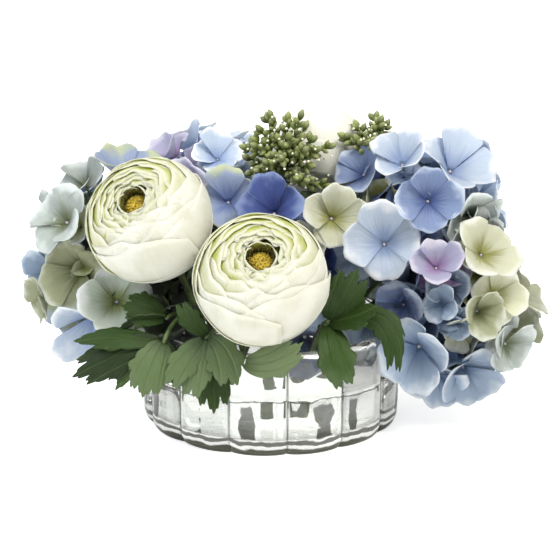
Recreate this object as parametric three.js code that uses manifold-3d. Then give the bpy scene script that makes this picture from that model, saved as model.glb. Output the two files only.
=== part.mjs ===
// Hydrangeas, ranunculus, seed sprays and foliage of fabric on moulded stems, in a low fluted glass vase.
// Millimetres, +Z up. The origin is the centre of the vase's foot, and the arrangement's front faces -Y.
import * as THREE from "three";
import { mergeVertices } from "three/addons/utils/BufferGeometryUtils.js";
import Module from "manifold-3d";

const wasm = await Module();
wasm.setup();

// Driving dimensions
const CLEARANCE = 0.3; // between two pieces that touch
const HOLE_SLACK = 0.6; // around a stem in its hole, and beyond its end
const BLADE = 0.8; // thickness of a petal or a leaf
const VASE = {
  crestRadius: 88,
  fluteDepth: 4,
  flutes: 14,
  firstGroove: 7.1, // degrees to the right of the front
  height: 70,
  floor: 9,
  innerRadius: 78,
};
const WATER_LEVEL = 37;
const STEM_FOOT = 13; // height of the stems' cut ends
const SEGMENTS_PER_FLUTE = 4;

const up = new THREE.Vector3(0, 0, 1);
const point = ([x, y, z]) => new THREE.Vector3(x, y, z);
const radians = THREE.MathUtils.degToRad;

// The same draws on every run
function seeded(seed) {
  let state = seed;
  return () => (state = (state * 16807) % 2147483647) / 2147483647;
}

// Between three.js geometry and solids that can be joined and cut
function solidOf(geometry) {
  const bare = new THREE.BufferGeometry();
  bare.setAttribute("position", geometry.getAttribute("position"));
  bare.setIndex(geometry.index);
  const merged = mergeVertices(bare, 1e-4);
  return new wasm.Manifold(
    new wasm.Mesh({
      numProp: 3,
      vertProperties: merged.attributes.position.array,
      triVerts: new Uint32Array(merged.index.array),
    }),
  );
}

function geometryOf(solid) {
  const mesh = solid.getMesh();
  const geometry = new THREE.BufferGeometry();
  geometry.setAttribute("position", new THREE.BufferAttribute(new Float32Array(mesh.vertProperties), 3));
  geometry.setIndex(new THREE.BufferAttribute(new Uint32Array(mesh.triVerts), 1));
  return geometry;
}

const joined = (solids) => solids.reduce((whole, next) => whole.add(next));

// A body of crossing blades or twigs, with its shortest edges closed up
const SHORT_EDGE = 0.05;
const tidied = (solid) => solid.asOriginal().simplify(SHORT_EDGE);

// The largest body of a solid: what a cut leaves loose is dropped
function largestBody(solid) {
  return solid.decompose().reduce((best, next) => (next.volume() > best.volume() ? next : best));
}

function meshGeometry(points, triangles) {
  const geometry = new THREE.BufferGeometry();
  geometry.setAttribute("position", new THREE.Float32BufferAttribute(points.flatMap((p) => p.toArray()), 3));
  geometry.setIndex(triangles.flat());
  return geometry;
}

// A thin closed plate: the same triangles on its top and its underside, and a wall round the edge
function plate(top, underside, faces) {
  const below = top.length;
  const edges = new Set(faces.flatMap(([a, b, c]) => [`${a},${b}`, `${b},${c}`, `${c},${a}`]));
  const rim = [...edges].map((edge) => edge.split(",").map(Number)).filter(([a, b]) => !edges.has(`${b},${a}`));
  const triangles = [
    ...faces,
    ...faces.map(([a, b, c]) => [a + below, c + below, b + below]),
    ...rim.flatMap(([a, b]) => [
      [a + below, b + below, b],
      [a + below, b, a],
    ]),
  ];
  return meshGeometry([...top, ...underside], triangles);
}

// Triangles between two rows of points, the second ahead of the first, each with its places along the row
function stitched(first, second, firstPlaces, secondPlaces) {
  const faces = [];
  let i = 0;
  let j = 0;
  while (i < first.length - 1 || j < second.length - 1) {
    const nextFirst = i < first.length - 1 ? firstPlaces[i] + firstPlaces[i + 1] : Infinity;
    const nextSecond = j < second.length - 1 ? secondPlaces[j] + secondPlaces[j + 1] : Infinity;
    if (nextFirst <= nextSecond) {
      faces.push([first[i], first[i + 1], second[j]]);
      i += 1;
    } else {
      faces.push([first[i], second[j + 1], second[j]]);
      j += 1;
    }
  }
  return faces;
}

// A body turned about +Z: rings of points from the middle of its underside, up its outside and back in
function turned(rings, sides, radiusAt) {
  const points = [];
  for (const ring of rings)
    for (let k = 0; k < sides; k += 1) {
      const angle = (2 * Math.PI * k) / sides;
      const radius = radiusAt(ring, angle, k);
      points.push(new THREE.Vector3(radius * Math.cos(angle), radius * Math.sin(angle), ring.z));
    }
  const start = points.length;
  points.push(new THREE.Vector3(0, 0, rings[0].z));
  points.push(new THREE.Vector3(0, 0, rings[rings.length - 1].z));
  const triangles = [];
  const last = (rings.length - 1) * sides;
  for (let k = 0; k < sides; k += 1) {
    const next = (k + 1) % sides;
    triangles.push([start, next, k]);
    triangles.push([start + 1, last + k, last + next]);
    for (let row = 0; row < last; row += sides) {
      triangles.push([row + k, row + next, row + sides + next]);
      triangles.push([row + k, row + sides + next, row + sides + k]);
    }
  }
  return meshGeometry(points, triangles);
}

const plainRadius = (ring) => ring.radius;

// A round bar along a curve
function bar(curve, radius, sides, steps) {
  const section = new THREE.Shape();
  for (let k = 0; k < sides; k += 1) {
    const angle = (2 * Math.PI * k) / sides;
    const corner = [radius * Math.cos(angle), radius * Math.sin(angle)];
    if (k === 0) section.moveTo(...corner);
    else section.lineTo(...corner);
  }
  section.closePath();
  return solidOf(new THREE.ExtrudeGeometry(section, { steps, extrudePath: curve, bevelEnabled: false }));
}

// What every later piece has to stay clear of, with its box so that far pieces cost no cut
const placed = [];
const boxOf = (solid) => {
  const { min, max } = solid.boundingBox();
  return new THREE.Box3(point(min), point(max));
};
const keep = (solid, owner = "") => {
  placed.push({ solid, box: boxOf(solid), owner });
  return solid;
};
const crosses = (solid, owner = "none") => {
  const box = boxOf(solid);
  const near = placed.filter((other) => other.owner !== owner && box.intersectsBox(other.box));
  return near.some((other) => solid.intersect(other.solid).volume() > 0);
};

const arrangement = new THREE.Group();
arrangement.name = "arrangement";

// Adds a piece as a mesh whose own origin is at the place given
function addMesh(name, solid, material, origin = new THREE.Vector3()) {
  const geometry = geometryOf(solid).translate(-origin.x, -origin.y, -origin.z);
  geometry.computeVertexNormals();
  const mesh = new THREE.Mesh(geometry, material.clone());
  mesh.name = name;
  mesh.position.copy(origin);
  arrangement.add(mesh);
}

const finish = (color, roughness, more = {}) =>
  new THREE.MeshStandardMaterial({ color, roughness, metalness: 0, flatShading: true, ...more });
const materials = {
  glass: finish(0xf2f4f0, 0.05, { transparent: true, opacity: 0.35 }),
  water: finish(0xeef0ea, 0.05, { transparent: true, opacity: 0.3 }),
  blue: finish(0xa9bedd, 0.75),
  deepBlue: finish(0x6f8ccb, 0.75),
  greenBlue: finish(0xb9c4b8, 0.75),
  cream: finish(0xf3f1dc, 0.7),
  button: finish(0xb9962f, 0.8),
  stamen: finish(0x6b5a35, 0.8),
  leaf: finish(0x4f6b3a, 0.65),
  stem: finish(0x6c8148, 0.6),
  seed: finish(0x6d7a35, 0.6),
};

// Vase: a shallow bowl of pressed glass with convex flutes outside and a smooth round wall inside
const FOOT_RADIUS = 81;
const HEEL_HEIGHT = 10; // where the rounded heel meets the upright wall
const RIM_RADIUS = 84;
const vaseSides = VASE.flutes * SEGMENTS_PER_FLUTE;

function flutedRadius(ring, angle, k) {
  const acrossFlute = (2 * (k % SEGMENTS_PER_FLUTE)) / SEGMENTS_PER_FLUTE - 1;
  const bulge = Math.sqrt(1 - acrossFlute * acrossFlute);
  return ring.radius - VASE.fluteDepth * ring.flute * (1 - bulge);
}

const vaseRings = [
  { radius: FOOT_RADIUS, z: 0, flute: 0.6 },
  { radius: VASE.crestRadius - 2, z: 3, flute: 1 },
  { radius: VASE.crestRadius, z: HEEL_HEIGHT, flute: 1 },
  { radius: VASE.crestRadius, z: VASE.height - 5, flute: 1 },
  { radius: RIM_RADIUS, z: VASE.height, flute: 0.4 },
  { radius: VASE.innerRadius + 1, z: VASE.height - 2, flute: 0 },
  { radius: VASE.innerRadius - 1, z: HEEL_HEIGHT + 3, flute: 0 },
  { radius: VASE.innerRadius - 8, z: VASE.floor, flute: 0 },
];
const vaseTurn = radians(VASE.firstGroove - 90);
const vase = solidOf(turned(vaseRings, vaseSides, flutedRadius).rotateZ(vaseTurn));
addMesh("vase", keep(vase), materials.glass);

// Stems: straight at their cut ends, then leaning out over the rim to what they carry
const STEM_SIDES = 5;
const STEM_STEPS = 3;
const stemHoles = [];

function stemPath(foot, via, end) {
  return new THREE.QuadraticBezierCurve3(point([...foot, STEM_FOOT]), point(via), point(end));
}

// The room that a stem takes where it stands in water or in the flower that it carries
function roomFor(path, radius) {
  const { v0, v1, v2 } = path;
  const longer = new THREE.QuadraticBezierCurve3(
    v0.clone().addScaledVector(v0.clone().sub(v1).normalize(), HOLE_SLACK),
    v1,
    v2.clone().addScaledVector(v2.clone().sub(v1).normalize(), HOLE_SLACK),
  );
  return bar(longer, radius + HOLE_SLACK, STEM_SIDES, STEM_STEPS);
}

function stem(foot, via, end, radius) {
  const path = stemPath(foot, via, end);
  const room = roomFor(path, radius);
  stemHoles.push(room);
  return { solid: bar(path, radius, STEM_SIDES, STEM_STEPS), room, path };
}

// Leaf lobe: a thin fan of fabric with teeth round its end, bent along a curve from its root to its tip
const LOBE_MIDDLE = 0.4; // how far along the lobe its middle row lies
const TOOTH_NOTCH = 0.9; // how far along the valleys between the teeth lie
const LOBE_ROUND = 0.42; // how much shorter the lobe is at its two sides
const LOBE_CUP = 0.12; // how far its sides bend back, as a share of its width

function lobe(root, { via, tip, width, teeth, facing }) {
  const curve = new THREE.QuadraticBezierCurve3(point(root), point(via), point(tip));
  const at = (along, across) => {
    const tangent = curve.getTangent(along);
    const normal = point(facing).addScaledVector(tangent, -tangent.dot(point(facing))).normalize();
    const side = tangent.clone().cross(normal);
    const half = (width / 2) * along ** 0.5;
    const top = curve
      .getPoint(along)
      .addScaledVector(side, across * half)
      .addScaledVector(normal, -LOBE_CUP * width * across * across * along);
    return { top, below: top.clone().addScaledVector(normal, -BLADE) };
  };
  const middlePlaces = [-1, 0, 1];
  const endPlaces = Array.from({ length: 2 * teeth - 1 }, (_, k) => -1 + k / (teeth - 1));
  const spots = [
    at(0, 0),
    ...middlePlaces.map((across) => at(LOBE_MIDDLE, across)),
    ...endPlaces.map((across, k) => at((1 - LOBE_ROUND * across * across) * (k % 2 ? TOOTH_NOTCH : 1), across)),
  ];
  const middle = middlePlaces.map((_, k) => 1 + k);
  const end = endPlaces.map((_, k) => 1 + middle.length + k);
  const faces = [[0, 2, 1], [0, 3, 2], ...stitched(middle, end, middlePlaces, endPlaces)];
  return solidOf(plate(spots.map((s) => s.top), spots.map((s) => s.below), faces));
}

// The lobes at the end of a stalk, each rooted a little further back in it than the last
const LOBE_STEP = 0.4;

function lobesOn(root, via, radius, shapes) {
  const back = point(via).sub(point(root)).normalize();
  return shapes.map((shape, k) => {
    const start = point(root).addScaledVector(back, radius / 2 + LOBE_STEP * k);
    return lobe(start.toArray(), shape);
  });
}

// A leaf: its stalk, from the stem that it grows on, and its lobes
const STALK_RADIUS = 1.3;

function leaf({ from, via, root, lobes }) {
  const stalk = bar(new THREE.QuadraticBezierCurve3(point(from), point(via), point(root)), STALK_RADIUS, 4, 3);
  return joined([stalk, ...lobesOn(root, via, STALK_RADIUS, lobes)]);
}

// Leaf that hangs over the rim: three lobes, fanned about the way out of the vase
const HANGING = { reach: 24, drop: 36, spread: 27, width: 33, teeth: 4, sideLobe: 0.8 };

function hangingLobes(root, out) {
  const away = point(out).normalize();
  const aside = away.clone().cross(up);
  return [-1, 0, 1].map((way) => {
    const share = way ? HANGING.sideLobe : 1;
    const tip = point(root)
      .addScaledVector(away, HANGING.reach * share)
      .addScaledVector(aside, HANGING.spread * way)
      .addScaledVector(up, -HANGING.drop * share);
    const via = point(root)
      .addScaledVector(away, 0.8 * HANGING.reach * share)
      .addScaledVector(aside, 0.5 * HANGING.spread * way)
      .addScaledVector(up, 5);
    const facing = away.clone().addScaledVector(up, 0.6).addScaledVector(aside, 0.4 * way);
    return { ...HANGING, via: via.toArray(), tip: tip.toArray(), facing: facing.toArray() };
  });
}

// Ranunculus: a globe of four rings of petals, one inside the other, open on a button ringed by stamens.
// It is one turned body whose wall folds in between the rings, and each petal's one side lies under the next.
const GLOBE = { radius: 41, flatness: 0.93, petals: 5, foot: 10, underside: -32 };
const WELL = { radius: 10.5, floor: 17 };
// Angles from the flower's axis in degrees; the shell is the distance from the middle as a share of the globe
const globeSides = [
  { angle: 128, shell: 0.93 },
  { angle: 100, shell: 0.99 },
];
// Each ring is turned on from the one outside it, by a share of a petal
const petalRings = [
  { rim: 76, shell: 1, turn: 0 },
  { rim: 54, shell: 0.94, turn: 0.45 },
  { rim: 39, shell: 0.885, turn: 0.95 },
  { rim: 27, shell: 0.84, turn: 1.4 },
];
const PETAL_COLUMNS = 4;
const PETAL_WALL = 1.1; // thickness of a petal at its rim
const PETAL_CORNER = 11; // degrees by which a rim's two ends drop below its middle
const PETAL_TUCK = 0.6; // how far one side of a petal lies further in than the other
const PETAL_GAP = 6; // degrees round the axis from one petal to the next
const FOLD_DEPTH = 5; // how far the wall folds in between two rings
const FOLD_ANGLE = 4; // degrees by which a fold's bottom lies nearer to the axis than the rim outside it

function ranunculusGlobe(size, spin) {
  const rows = [];
  const around = GLOBE.petals * (PETAL_COLUMNS + 1);
  const addRow = (radiusAndHeight, turn) => {
    const row = [];
    for (let step = 0; step < around; step += 1) {
      const petal = Math.floor(step / (PETAL_COLUMNS + 1));
      const across = (2 * (step % (PETAL_COLUMNS + 1))) / PETAL_COLUMNS - 1;
      const share = 180 / GLOBE.petals;
      const azimuth = spin + radians(2 * share * (petal + turn) + (share - PETAL_GAP / 2) * across);
      const [radius, z] = radiusAndHeight(across);
      row.push(new THREE.Vector3(radius * Math.cos(azimuth), radius * Math.sin(azimuth), z));
    }
    rows.push(row);
  };
  const onGlobe = (degrees, distance) => [
    distance * Math.sin(radians(degrees)),
    GLOBE.flatness * distance * Math.cos(radians(degrees)),
  ];
  addRow(() => [GLOBE.foot, GLOBE.underside], 0);
  for (const { angle, shell } of globeSides)
    addRow((across) => onGlobe(angle, GLOBE.radius * shell + PETAL_TUCK * across), 0);
  for (const { rim, shell, turn } of petalRings) {
    const distance = GLOBE.radius * shell;
    const lip = (across) => rim + PETAL_CORNER * across * across;
    addRow((across) => onGlobe(lip(across), distance + PETAL_TUCK * across), turn);
    addRow((across) => onGlobe(lip(across), distance - PETAL_WALL + PETAL_TUCK * across), turn);
    addRow((across) => onGlobe(lip(across) - FOLD_ANGLE, distance - FOLD_DEPTH), turn);
  }
  rows.pop();
  addRow(() => [WELL.radius, WELL.floor], petalRings.at(-1).turn);
  const points = rows.flat();
  const [low, high] = [points.length, points.length + 1];
  points.push(new THREE.Vector3(0, 0, GLOBE.underside), new THREE.Vector3(0, 0, WELL.floor));
  const triangles = [];
  const last = (rows.length - 1) * around;
  for (let step = 0; step < around; step += 1) {
    const next = (step + 1) % around;
    triangles.push([low, next, step], [high, last + step, last + next]);
    for (let row = 0; row < last; row += around) {
      triangles.push([row + step, row + next, row + around + next]);
      triangles.push([row + step, row + around + next, row + around + step]);
    }
  }
  return solidOf(meshGeometry(points, triangles)).scale(size / GLOBE.radius);
}

// The button is a low dome; the stamens stand round it as one ring with a toothed top
const BUTTON_SIDES = 8;
const buttonRings = [
  { radius: 6.6, z: WELL.floor + CLEARANCE },
  { radius: 7, z: WELL.floor + 3 },
  { radius: 4.5, z: WELL.floor + 6 },
];
const STAMENS = { count: 8, inner: 7.6, outer: 10, low: 4.5, high: 8 };

function stamenRing() {
  const sides = 2 * STAMENS.count;
  const points = [];
  for (let k = 0; k < sides; k += 1) {
    const angle = (2 * Math.PI * k) / sides;
    const top = WELL.floor + (k % 2 ? STAMENS.low : STAMENS.high);
    const floor = WELL.floor + CLEARANCE;
    for (const [radius, z] of [
      [STAMENS.inner, floor],
      [STAMENS.outer, floor],
      [STAMENS.outer - 0.4, top],
      [STAMENS.inner + 0.4, top - 0.8],
    ])
      points.push(new THREE.Vector3(radius * Math.cos(angle), radius * Math.sin(angle), z));
  }
  const triangles = [];
  for (let k = 0; k < sides; k += 1)
    for (let edge = 0; edge < 4; edge += 1) {
      const here = 4 * k + edge;
      const above = 4 * k + ((edge + 1) % 4);
      const beside = 4 * ((k + 1) % sides) + edge;
      const opposite = 4 * ((k + 1) % sides) + ((edge + 1) % 4);
      triangles.push([here, beside, opposite], [here, opposite, above]);
    }
  return solidOf(meshGeometry(points, triangles));
}

// Calyx: the green cup under the globe, one piece with the stem
const CALYX_SIDES = 6;
const calyxRings = [
  { radius: 2.2, z: GLOBE.underside - 12 },
  { radius: 8, z: GLOBE.underside - 4 },
  { radius: 9, z: GLOBE.underside - CLEARANCE },
];
const STEM_SOCKET = 5; // how deep the stem's end stands in the globe

function aimed(geometrySolid, axis, centre) {
  const turn = new THREE.Quaternion().setFromUnitVectors(up, axis);
  const matrix = new THREE.Matrix4().compose(centre, turn, new THREE.Vector3(1, 1, 1));
  return geometrySolid.transform(matrix.toArray());
}

const RANUNCULUS_STEM = 2.4;
const ranunculus = [
  {
    name: "ranunculus_left",
    centre: [-78, -52, 150],
    axis: [-0.3, -0.73, 0.62],
    size: 41,
    spin: 0.4,
    foot: [-26, -16],
    via: [-50, -24, 86],
    leaves: [
      {
        from: [-45.5, -22.5, 76],
        via: [-62, -62, 96],
        root: [-68, -80, 76],
        lobes: [
          { via: [-98, -82, 84], tip: [-126, -74, 76], width: 22, teeth: 3, facing: [0, -0.6, 0.9] },
          { via: [-98, -88, 74], tip: [-127, -82, 54], width: 33, teeth: 5, facing: [-0.1, -0.9, 0.5] },
          { via: [-85, -90, 68], tip: [-99, -87, 47], width: 15, teeth: 3, facing: [-0.1, -0.95, 0.3] },
          { via: [-76, -97, 68], tip: [-81, -96, 45], width: 34, teeth: 5, facing: [0, -0.95, 0.4] },
        ],
      },
      {
        from: [-45.5, -22.5, 76],
        via: [-60, -45, 90],
        root: [-67, -64, 88],
        lobes: [
          { via: [-80, -72, 98], tip: [-95, -69, 98], width: 29, teeth: 5, facing: [0.1, -0.8, 0.6] },
          { via: [-82, -70, 90], tip: [-97, -71, 82], width: 24, teeth: 3, facing: [0, -0.5, -0.8] },
        ],
      },
    ],
  },
  {
    name: "ranunculus_right",
    centre: [-6, -86, 120],
    axis: [0, -0.726, 0.688],
    size: 42,
    spin: 1.5,
    foot: [-4, -30],
    via: [-5, -40, 76],
    leaves: [
      {
        from: [-5, -39, 70],
        via: [-30, -68, 92],
        root: [-41, -82, 80],
        lobes: [
          { via: [-55, -99, 74], tip: [-64, -100, 52], width: 23, teeth: 4, facing: [-0.2, -0.95, 0.3] },
          { via: [-46, -98, 72], tip: [-51, -101, 45], width: 27, teeth: 4, facing: [-0.1, -0.95, 0.4] },
          { via: [-36, -93, 60], tip: [-36, -95, 34], width: 32, teeth: 5, facing: [0.1, -0.95, 0.3] },
          { via: [-26, -99, 76], tip: [-26, -102, 53], width: 29, teeth: 4, facing: [0.1, -0.95, 0.4] },
          { via: [-52, -88, 92], tip: [-57, -87, 106], width: 18, teeth: 4, facing: [-0.3, -0.9, 0.2] },
        ],
      },
      {
        from: [-5, -39, 70],
        via: [-12, -74, 84],
        root: [-18, -94, 68],
        lobes: [{ via: [0, -104, 66], tip: [20, -105, 85], width: 27, teeth: 5, facing: [0, -0.95, 0.3] }],
      },
    ],
  },
  {
    name: "ranunculus_back",
    centre: [32, 52, 172],
    axis: [0.15, 0.5, 0.85],
    size: 38,
    spin: 2.3,
    foot: [6, 30],
    via: [16, 34, 90],
    leaves: [],
  },
];

for (const flower of ranunculus) {
  const axis = point(flower.axis).normalize();
  const centre = point(flower.centre);
  const scale = flower.size / GLOBE.radius;
  const place = (solid) => aimed(solid, axis, centre);
  const end = centre.clone().addScaledVector(axis, (GLOBE.underside + STEM_SOCKET) * scale);
  const stalk = stem(flower.foot, flower.via, end.toArray(), RANUNCULUS_STEM);
  const calyx = place(solidOf(turned(calyxRings, CALYX_SIDES, plainRadius)).scale(scale));
  const globe = place(ranunculusGlobe(flower.size, flower.spin)).subtract(stalk.room);
  addMesh(flower.name + "_petals", keep(largestBody(globe)), materials.cream, centre);
  const button = solidOf(turned(buttonRings, BUTTON_SIDES, plainRadius)).scale(scale);
  addMesh(flower.name + "_button", keep(place(button)), materials.button, centre);
  addMesh(flower.name + "_stamens", keep(place(stamenRing().scale(scale))), materials.stamen, centre);
  const stalkName = flower.name + (flower.leaves.length ? "_leafy_stem" : "_stem");
  const leafyStem = tidied(joined([stalk.solid, calyx, ...flower.leaves.map(leaf)]));
  addMesh(stalkName, keep(leafyStem), materials.leaf);
}

// Foliage picks: a cut stem with one toothed leaf at its end
const PICK_STEM = 1.8;
const picks = [
  {
    name: "foliage_right",
    foot: [20, -26],
    via: [28, -58, 84],
    end: [37, -72, 88],
    lobes: [
      { via: [44, -84, 104], tip: [54, -87, 127], width: 33, teeth: 5, facing: [0.1, -0.95, 0.3] },
      { via: [52, -86, 94], tip: [66, -92, 104], width: 22, teeth: 3, facing: [0, -0.75, 0.65] },
      { via: [84, -90, 112], tip: [76, -98, 58], width: 22, teeth: 4, facing: [-0.1, -0.9, 0.4] },
      { via: [40, -98, 74], tip: [47, -98, 51], width: 29, teeth: 4, facing: [0, -0.95, 0.35] },
    ],
  },
  { name: "foliage_back_left", foot: [-30, 26], via: [-54, 48, 90], end: [-70, 62, 84], out: [-0.7, 0.7, 0] },
  { name: "foliage_back", foot: [12, 46], via: [16, 74, 92], end: [20, 92, 84], out: [0.15, 1, 0] },
  { name: "foliage_back_right", foot: [38, 24], via: [64, 34, 92], end: [86, 44, 84], out: [0.9, 0.45, 0] },
];
for (const pick of picks) {
  const stalk = stem(pick.foot, pick.via, pick.end, PICK_STEM);
  const shapes = pick.lobes ?? hangingLobes(pick.end, pick.out);
  const whole = tidied(joined([stalk.solid, ...lobesOn(pick.end, pick.via, PICK_STEM, shapes)]));
  addMesh(pick.name, keep(whole), materials.leaf);
}

// Seed sprays: twigs that branch from the top of a stem, with oval seeds along each twig and one at its tip
const SEED = { length: 9, radius: 2.3, sides: 4, waist: 0.55, root: 0.4 };
const SPRAY_STEM = 1.5;
const TWIG = { radius: 0.9, sides: 3, apart: 1.2 };
const SEED_LEAN = 0.9; // how far a seed leans away from its twig
const GOLDEN_ANGLE = Math.PI * (3 - Math.sqrt(5));

function seed(from, way) {
  const points = [new THREE.Vector3(), new THREE.Vector3(0, 0, SEED.length)];
  for (let k = 0; k < SEED.sides; k += 1) {
    const angle = (2 * Math.PI * k) / SEED.sides;
    points.push(
      new THREE.Vector3(SEED.radius * Math.cos(angle), SEED.radius * Math.sin(angle), SEED.waist * SEED.length),
    );
  }
  const triangles = [];
  for (let k = 0; k < SEED.sides; k += 1) {
    const here = 2 + k;
    const next = 2 + ((k + 1) % SEED.sides);
    triangles.push([0, next, here], [1, here, next]);
  }
  return aimed(solidOf(meshGeometry(points, triangles)), way, from);
}

// The directions in a cone about a way, spread evenly by the golden angle
function fanned(way, count, widest, twist) {
  const turn = new THREE.Quaternion().setFromUnitVectors(up, way);
  return Array.from({ length: count }, (_, k) => {
    const polar = Math.acos(1 - ((k + 0.5) / count) * (1 - Math.cos(radians(widest))));
    const azimuth = k * GOLDEN_ANGLE + twist;
    return new THREE.Vector3(
      Math.sin(polar) * Math.cos(azimuth),
      Math.sin(polar) * Math.sin(azimuth),
      Math.cos(polar),
    ).applyQuaternion(turn);
  });
}

const sprays = [
  {
    name: "seed_spray_centre",
    foot: [6, 15],
    via: [2, 26, 100],
    end: [10, 9, 177],
    rise: [0.03, -0.1, 1],
    twigs: 14,
    reach: 32,
    spread: 92,
    seeds: 4,
    seed: 12,
  },
  {
    name: "seed_spray_right",
    foot: [16, 14],
    via: [52, 18, 100],
    end: [66, 16, 183],
    rise: [0.15, 0, 1],
    twigs: 4,
    reach: 22,
    spread: 74,
    seeds: 3,
    seed: 23,
  },
];
for (const spray of sprays) {
  const draw = seeded(spray.seed);
  const stalk = stem(spray.foot, spray.via, spray.end, SPRAY_STEM);
  const parts = [stalk.solid];
  const growth = point(spray.end).sub(point(spray.via)).normalize();
  fanned(point(spray.rise).normalize(), spray.twigs, spray.spread, draw() * 6).forEach((way, k) => {
    const reach = spray.reach * (0.75 + 0.25 * draw());
    const fork = point(spray.end).addScaledVector(growth, -TWIG.radius - TWIG.apart * k);
    const tip = fork.clone().addScaledVector(way, reach);
    const twig = [bar(new THREE.LineCurve3(fork, tip), TWIG.radius, TWIG.sides, 1)];
    twig.push(seed(tip.clone().addScaledVector(way, -SEED.root), way));
    const aside = new THREE.Vector3(draw() - 0.5, draw() - 0.5, draw() - 0.5).cross(way).normalize();
    for (let place = 1; place < spray.seeds; place += 1) {
      aside.applyAxisAngle(way, GOLDEN_ANGLE);
      const lean = way.clone().addScaledVector(aside, SEED_LEAN).normalize();
      const from = fork.clone().lerp(tip, 1 - (0.5 * place) / spray.seeds);
      twig.push(seed(from.addScaledVector(lean, -SEED.root), lean));
    }
    if (!crosses(twig[0])) parts.push(...twig.filter((part) => !crosses(part)));
  });
  addMesh(spray.name, keep(tidied(largestBody(joined(parts)))), materials.seed);
}

// Hydrangea floret: four broad petals cut in one cupped blade, on a four-sided stalk that roots in the head
const FLORET = {
  reach: 26,
  cup: 10,
  side: 33, // degrees from a petal's middle to its two corners
  sideReach: 0.9,
  notchReach: 0.4,
  heart: 2.4, // thickness at the notches between the petals
};

function floret(draw, rootDepth) {
  const top = [];
  const cup = FLORET.cup * (0.7 + 0.6 * draw());
  for (let petal = 0; petal < 4; petal += 1) {
    const middle = (petal * Math.PI) / 2;
    const long = 0.92 + 0.16 * draw();
    for (const [turn, reach, rise] of [
      [-Math.PI / 4, FLORET.notchReach, 0.2],
      [-radians(FLORET.side), FLORET.sideReach * long, 1],
      [0, long * 1.04, 0.7],
      [radians(FLORET.side), FLORET.sideReach * long, 1],
    ]) {
      const radius = FLORET.reach * reach;
      top.push(new THREE.Vector3(radius * Math.cos(middle + turn), radius * Math.sin(middle + turn), cup * rise));
    }
  }
  const outline = top.length;
  const underside = top.map((spot, k) => spot.clone().setZ(spot.z - (k % 4 ? BLADE : FLORET.heart)));
  const points = [...top, ...underside, new THREE.Vector3(), new THREE.Vector3(0, 0, -rootDepth)];
  const [heart, root] = [2 * outline, 2 * outline + 1];
  const triangles = [];
  for (let k = 0; k < outline; k += 1) {
    const next = (k + 1) % outline;
    triangles.push([heart, k, next], [k + outline, next + outline, next], [k + outline, next, k]);
  }
  for (let notch = outline; notch < 2 * outline; notch += 4) {
    const nextNotch = notch + 4 < 2 * outline ? notch + 4 : outline;
    triangles.push([notch, notch + 2, notch + 1], [notch, notch + 3, notch + 2], [notch, nextNotch, notch + 3]);
    triangles.push([root, nextNotch, notch]);
  }
  return solidOf(meshGeometry(points, triangles));
}

// Hydrangea head: florets over a round core, packed by the golden angle about the way that the head faces
const FLORET_AREA = 1020; // square millimetres of the head that each floret covers
const FLORET_DEPTH = 14; // from the petals' tips to the florets' middles
const FLORET_SIZES = [1, 0.86, 0.74]; // the full one, and the smaller ones that it gives way to
const SPINS = 8; // turns tried for each floret, so that its petals reach into its neighbours' notches
const LIFTS = [0, 3, -3];
const SLIGHT = 0.5; // cubic millimetres by which two florets may cross
const ROOTED = 6; // how deep a floret's stalk roots in the core
const FREE_ROOM = 1.05; // how much larger a floret could be before it met another piece
const HYDRANGEA_STEM = 2.6;
const SOCKET = 9; // how deep a stem's end stands in the core

const heads = [
  {
    name: "hydrangea_right_upper",
    centre: [97, 6, 146],
    radii: [59, 55, 54],
    core: [36, 34, 30],
    facing: [0.25, -0.6, 0.7],
    widest: 128,
    foot: [28, 8],
    via: [56, 6, 84],
    seed: 396489,
    material: materials.blue,
  },
  {
    name: "hydrangea_right_lower",
    centre: [118, -16, 87],
    radii: [56, 53, 70],
    core: [33, 29, 36],
    facing: [0.5, -0.8, 0.05],
    widest: 125,
    foot: [34, -8],
    via: [62, -9, 100],
    seed: 204935,
    material: materials.greenBlue,
  },
  {
    name: "hydrangea_left",
    centre: [-101, 12, 110],
    radii: [67, 60, 70],
    core: [42, 36, 42],
    facing: [-0.6, -0.65, 0.1],
    widest: 130,
    foot: [-30, 6],
    via: [-56, 10, 92],
    seed: 358178,
    material: materials.greenBlue,
  },
  {
    name: "hydrangea_centre",
    centre: [12, -12, 104],
    radii: [48, 48, 46],
    core: [26, 26, 24],
    facing: [0.3, -0.6, 0.75],
    widest: 112,
    foot: [4, -6],
    via: [6, -7, 50],
    seed: 166623,
    material: materials.deepBlue,
  },
  {
    name: "hydrangea_back_left",
    centre: [-38, 76, 130],
    radii: [62, 60, 62],
    core: [40, 38, 38],
    facing: [-0.15, 0.35, 0.9],
    widest: 122,
    foot: [-18, 30],
    via: [-26, 50, 80],
    seed: 319867,
    material: materials.blue,
  },
  {
    name: "hydrangea_back_right",
    centre: [66, 88, 108],
    radii: [60, 58, 58],
    core: [38, 36, 36],
    facing: [0.4, 0.75, 0.35],
    widest: 115,
    foot: [22, 34],
    via: [40, 54, 66],
    seed: 204934,
    material: materials.blue,
  },
];

for (const head of heads) {
  const centre = point(head.centre);
  const way = point(head.via).sub(centre).normalize();
  const end = centre.clone().addScaledVector(way, Math.min(...head.core) - SOCKET);
  head.stalk = stem(head.foot, head.via, end.toArray(), HYDRANGEA_STEM);
  addMesh(head.name + "_stem", keep(head.stalk.solid), materials.stem);
}

for (const head of heads) {
  const ball = new THREE.IcosahedronGeometry(1, 1).scale(...head.core).translate(...head.centre);
  head.ball = solidOf(ball).subtract(head.stalk.room);
  keep(head.ball, head.name);
}

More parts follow.
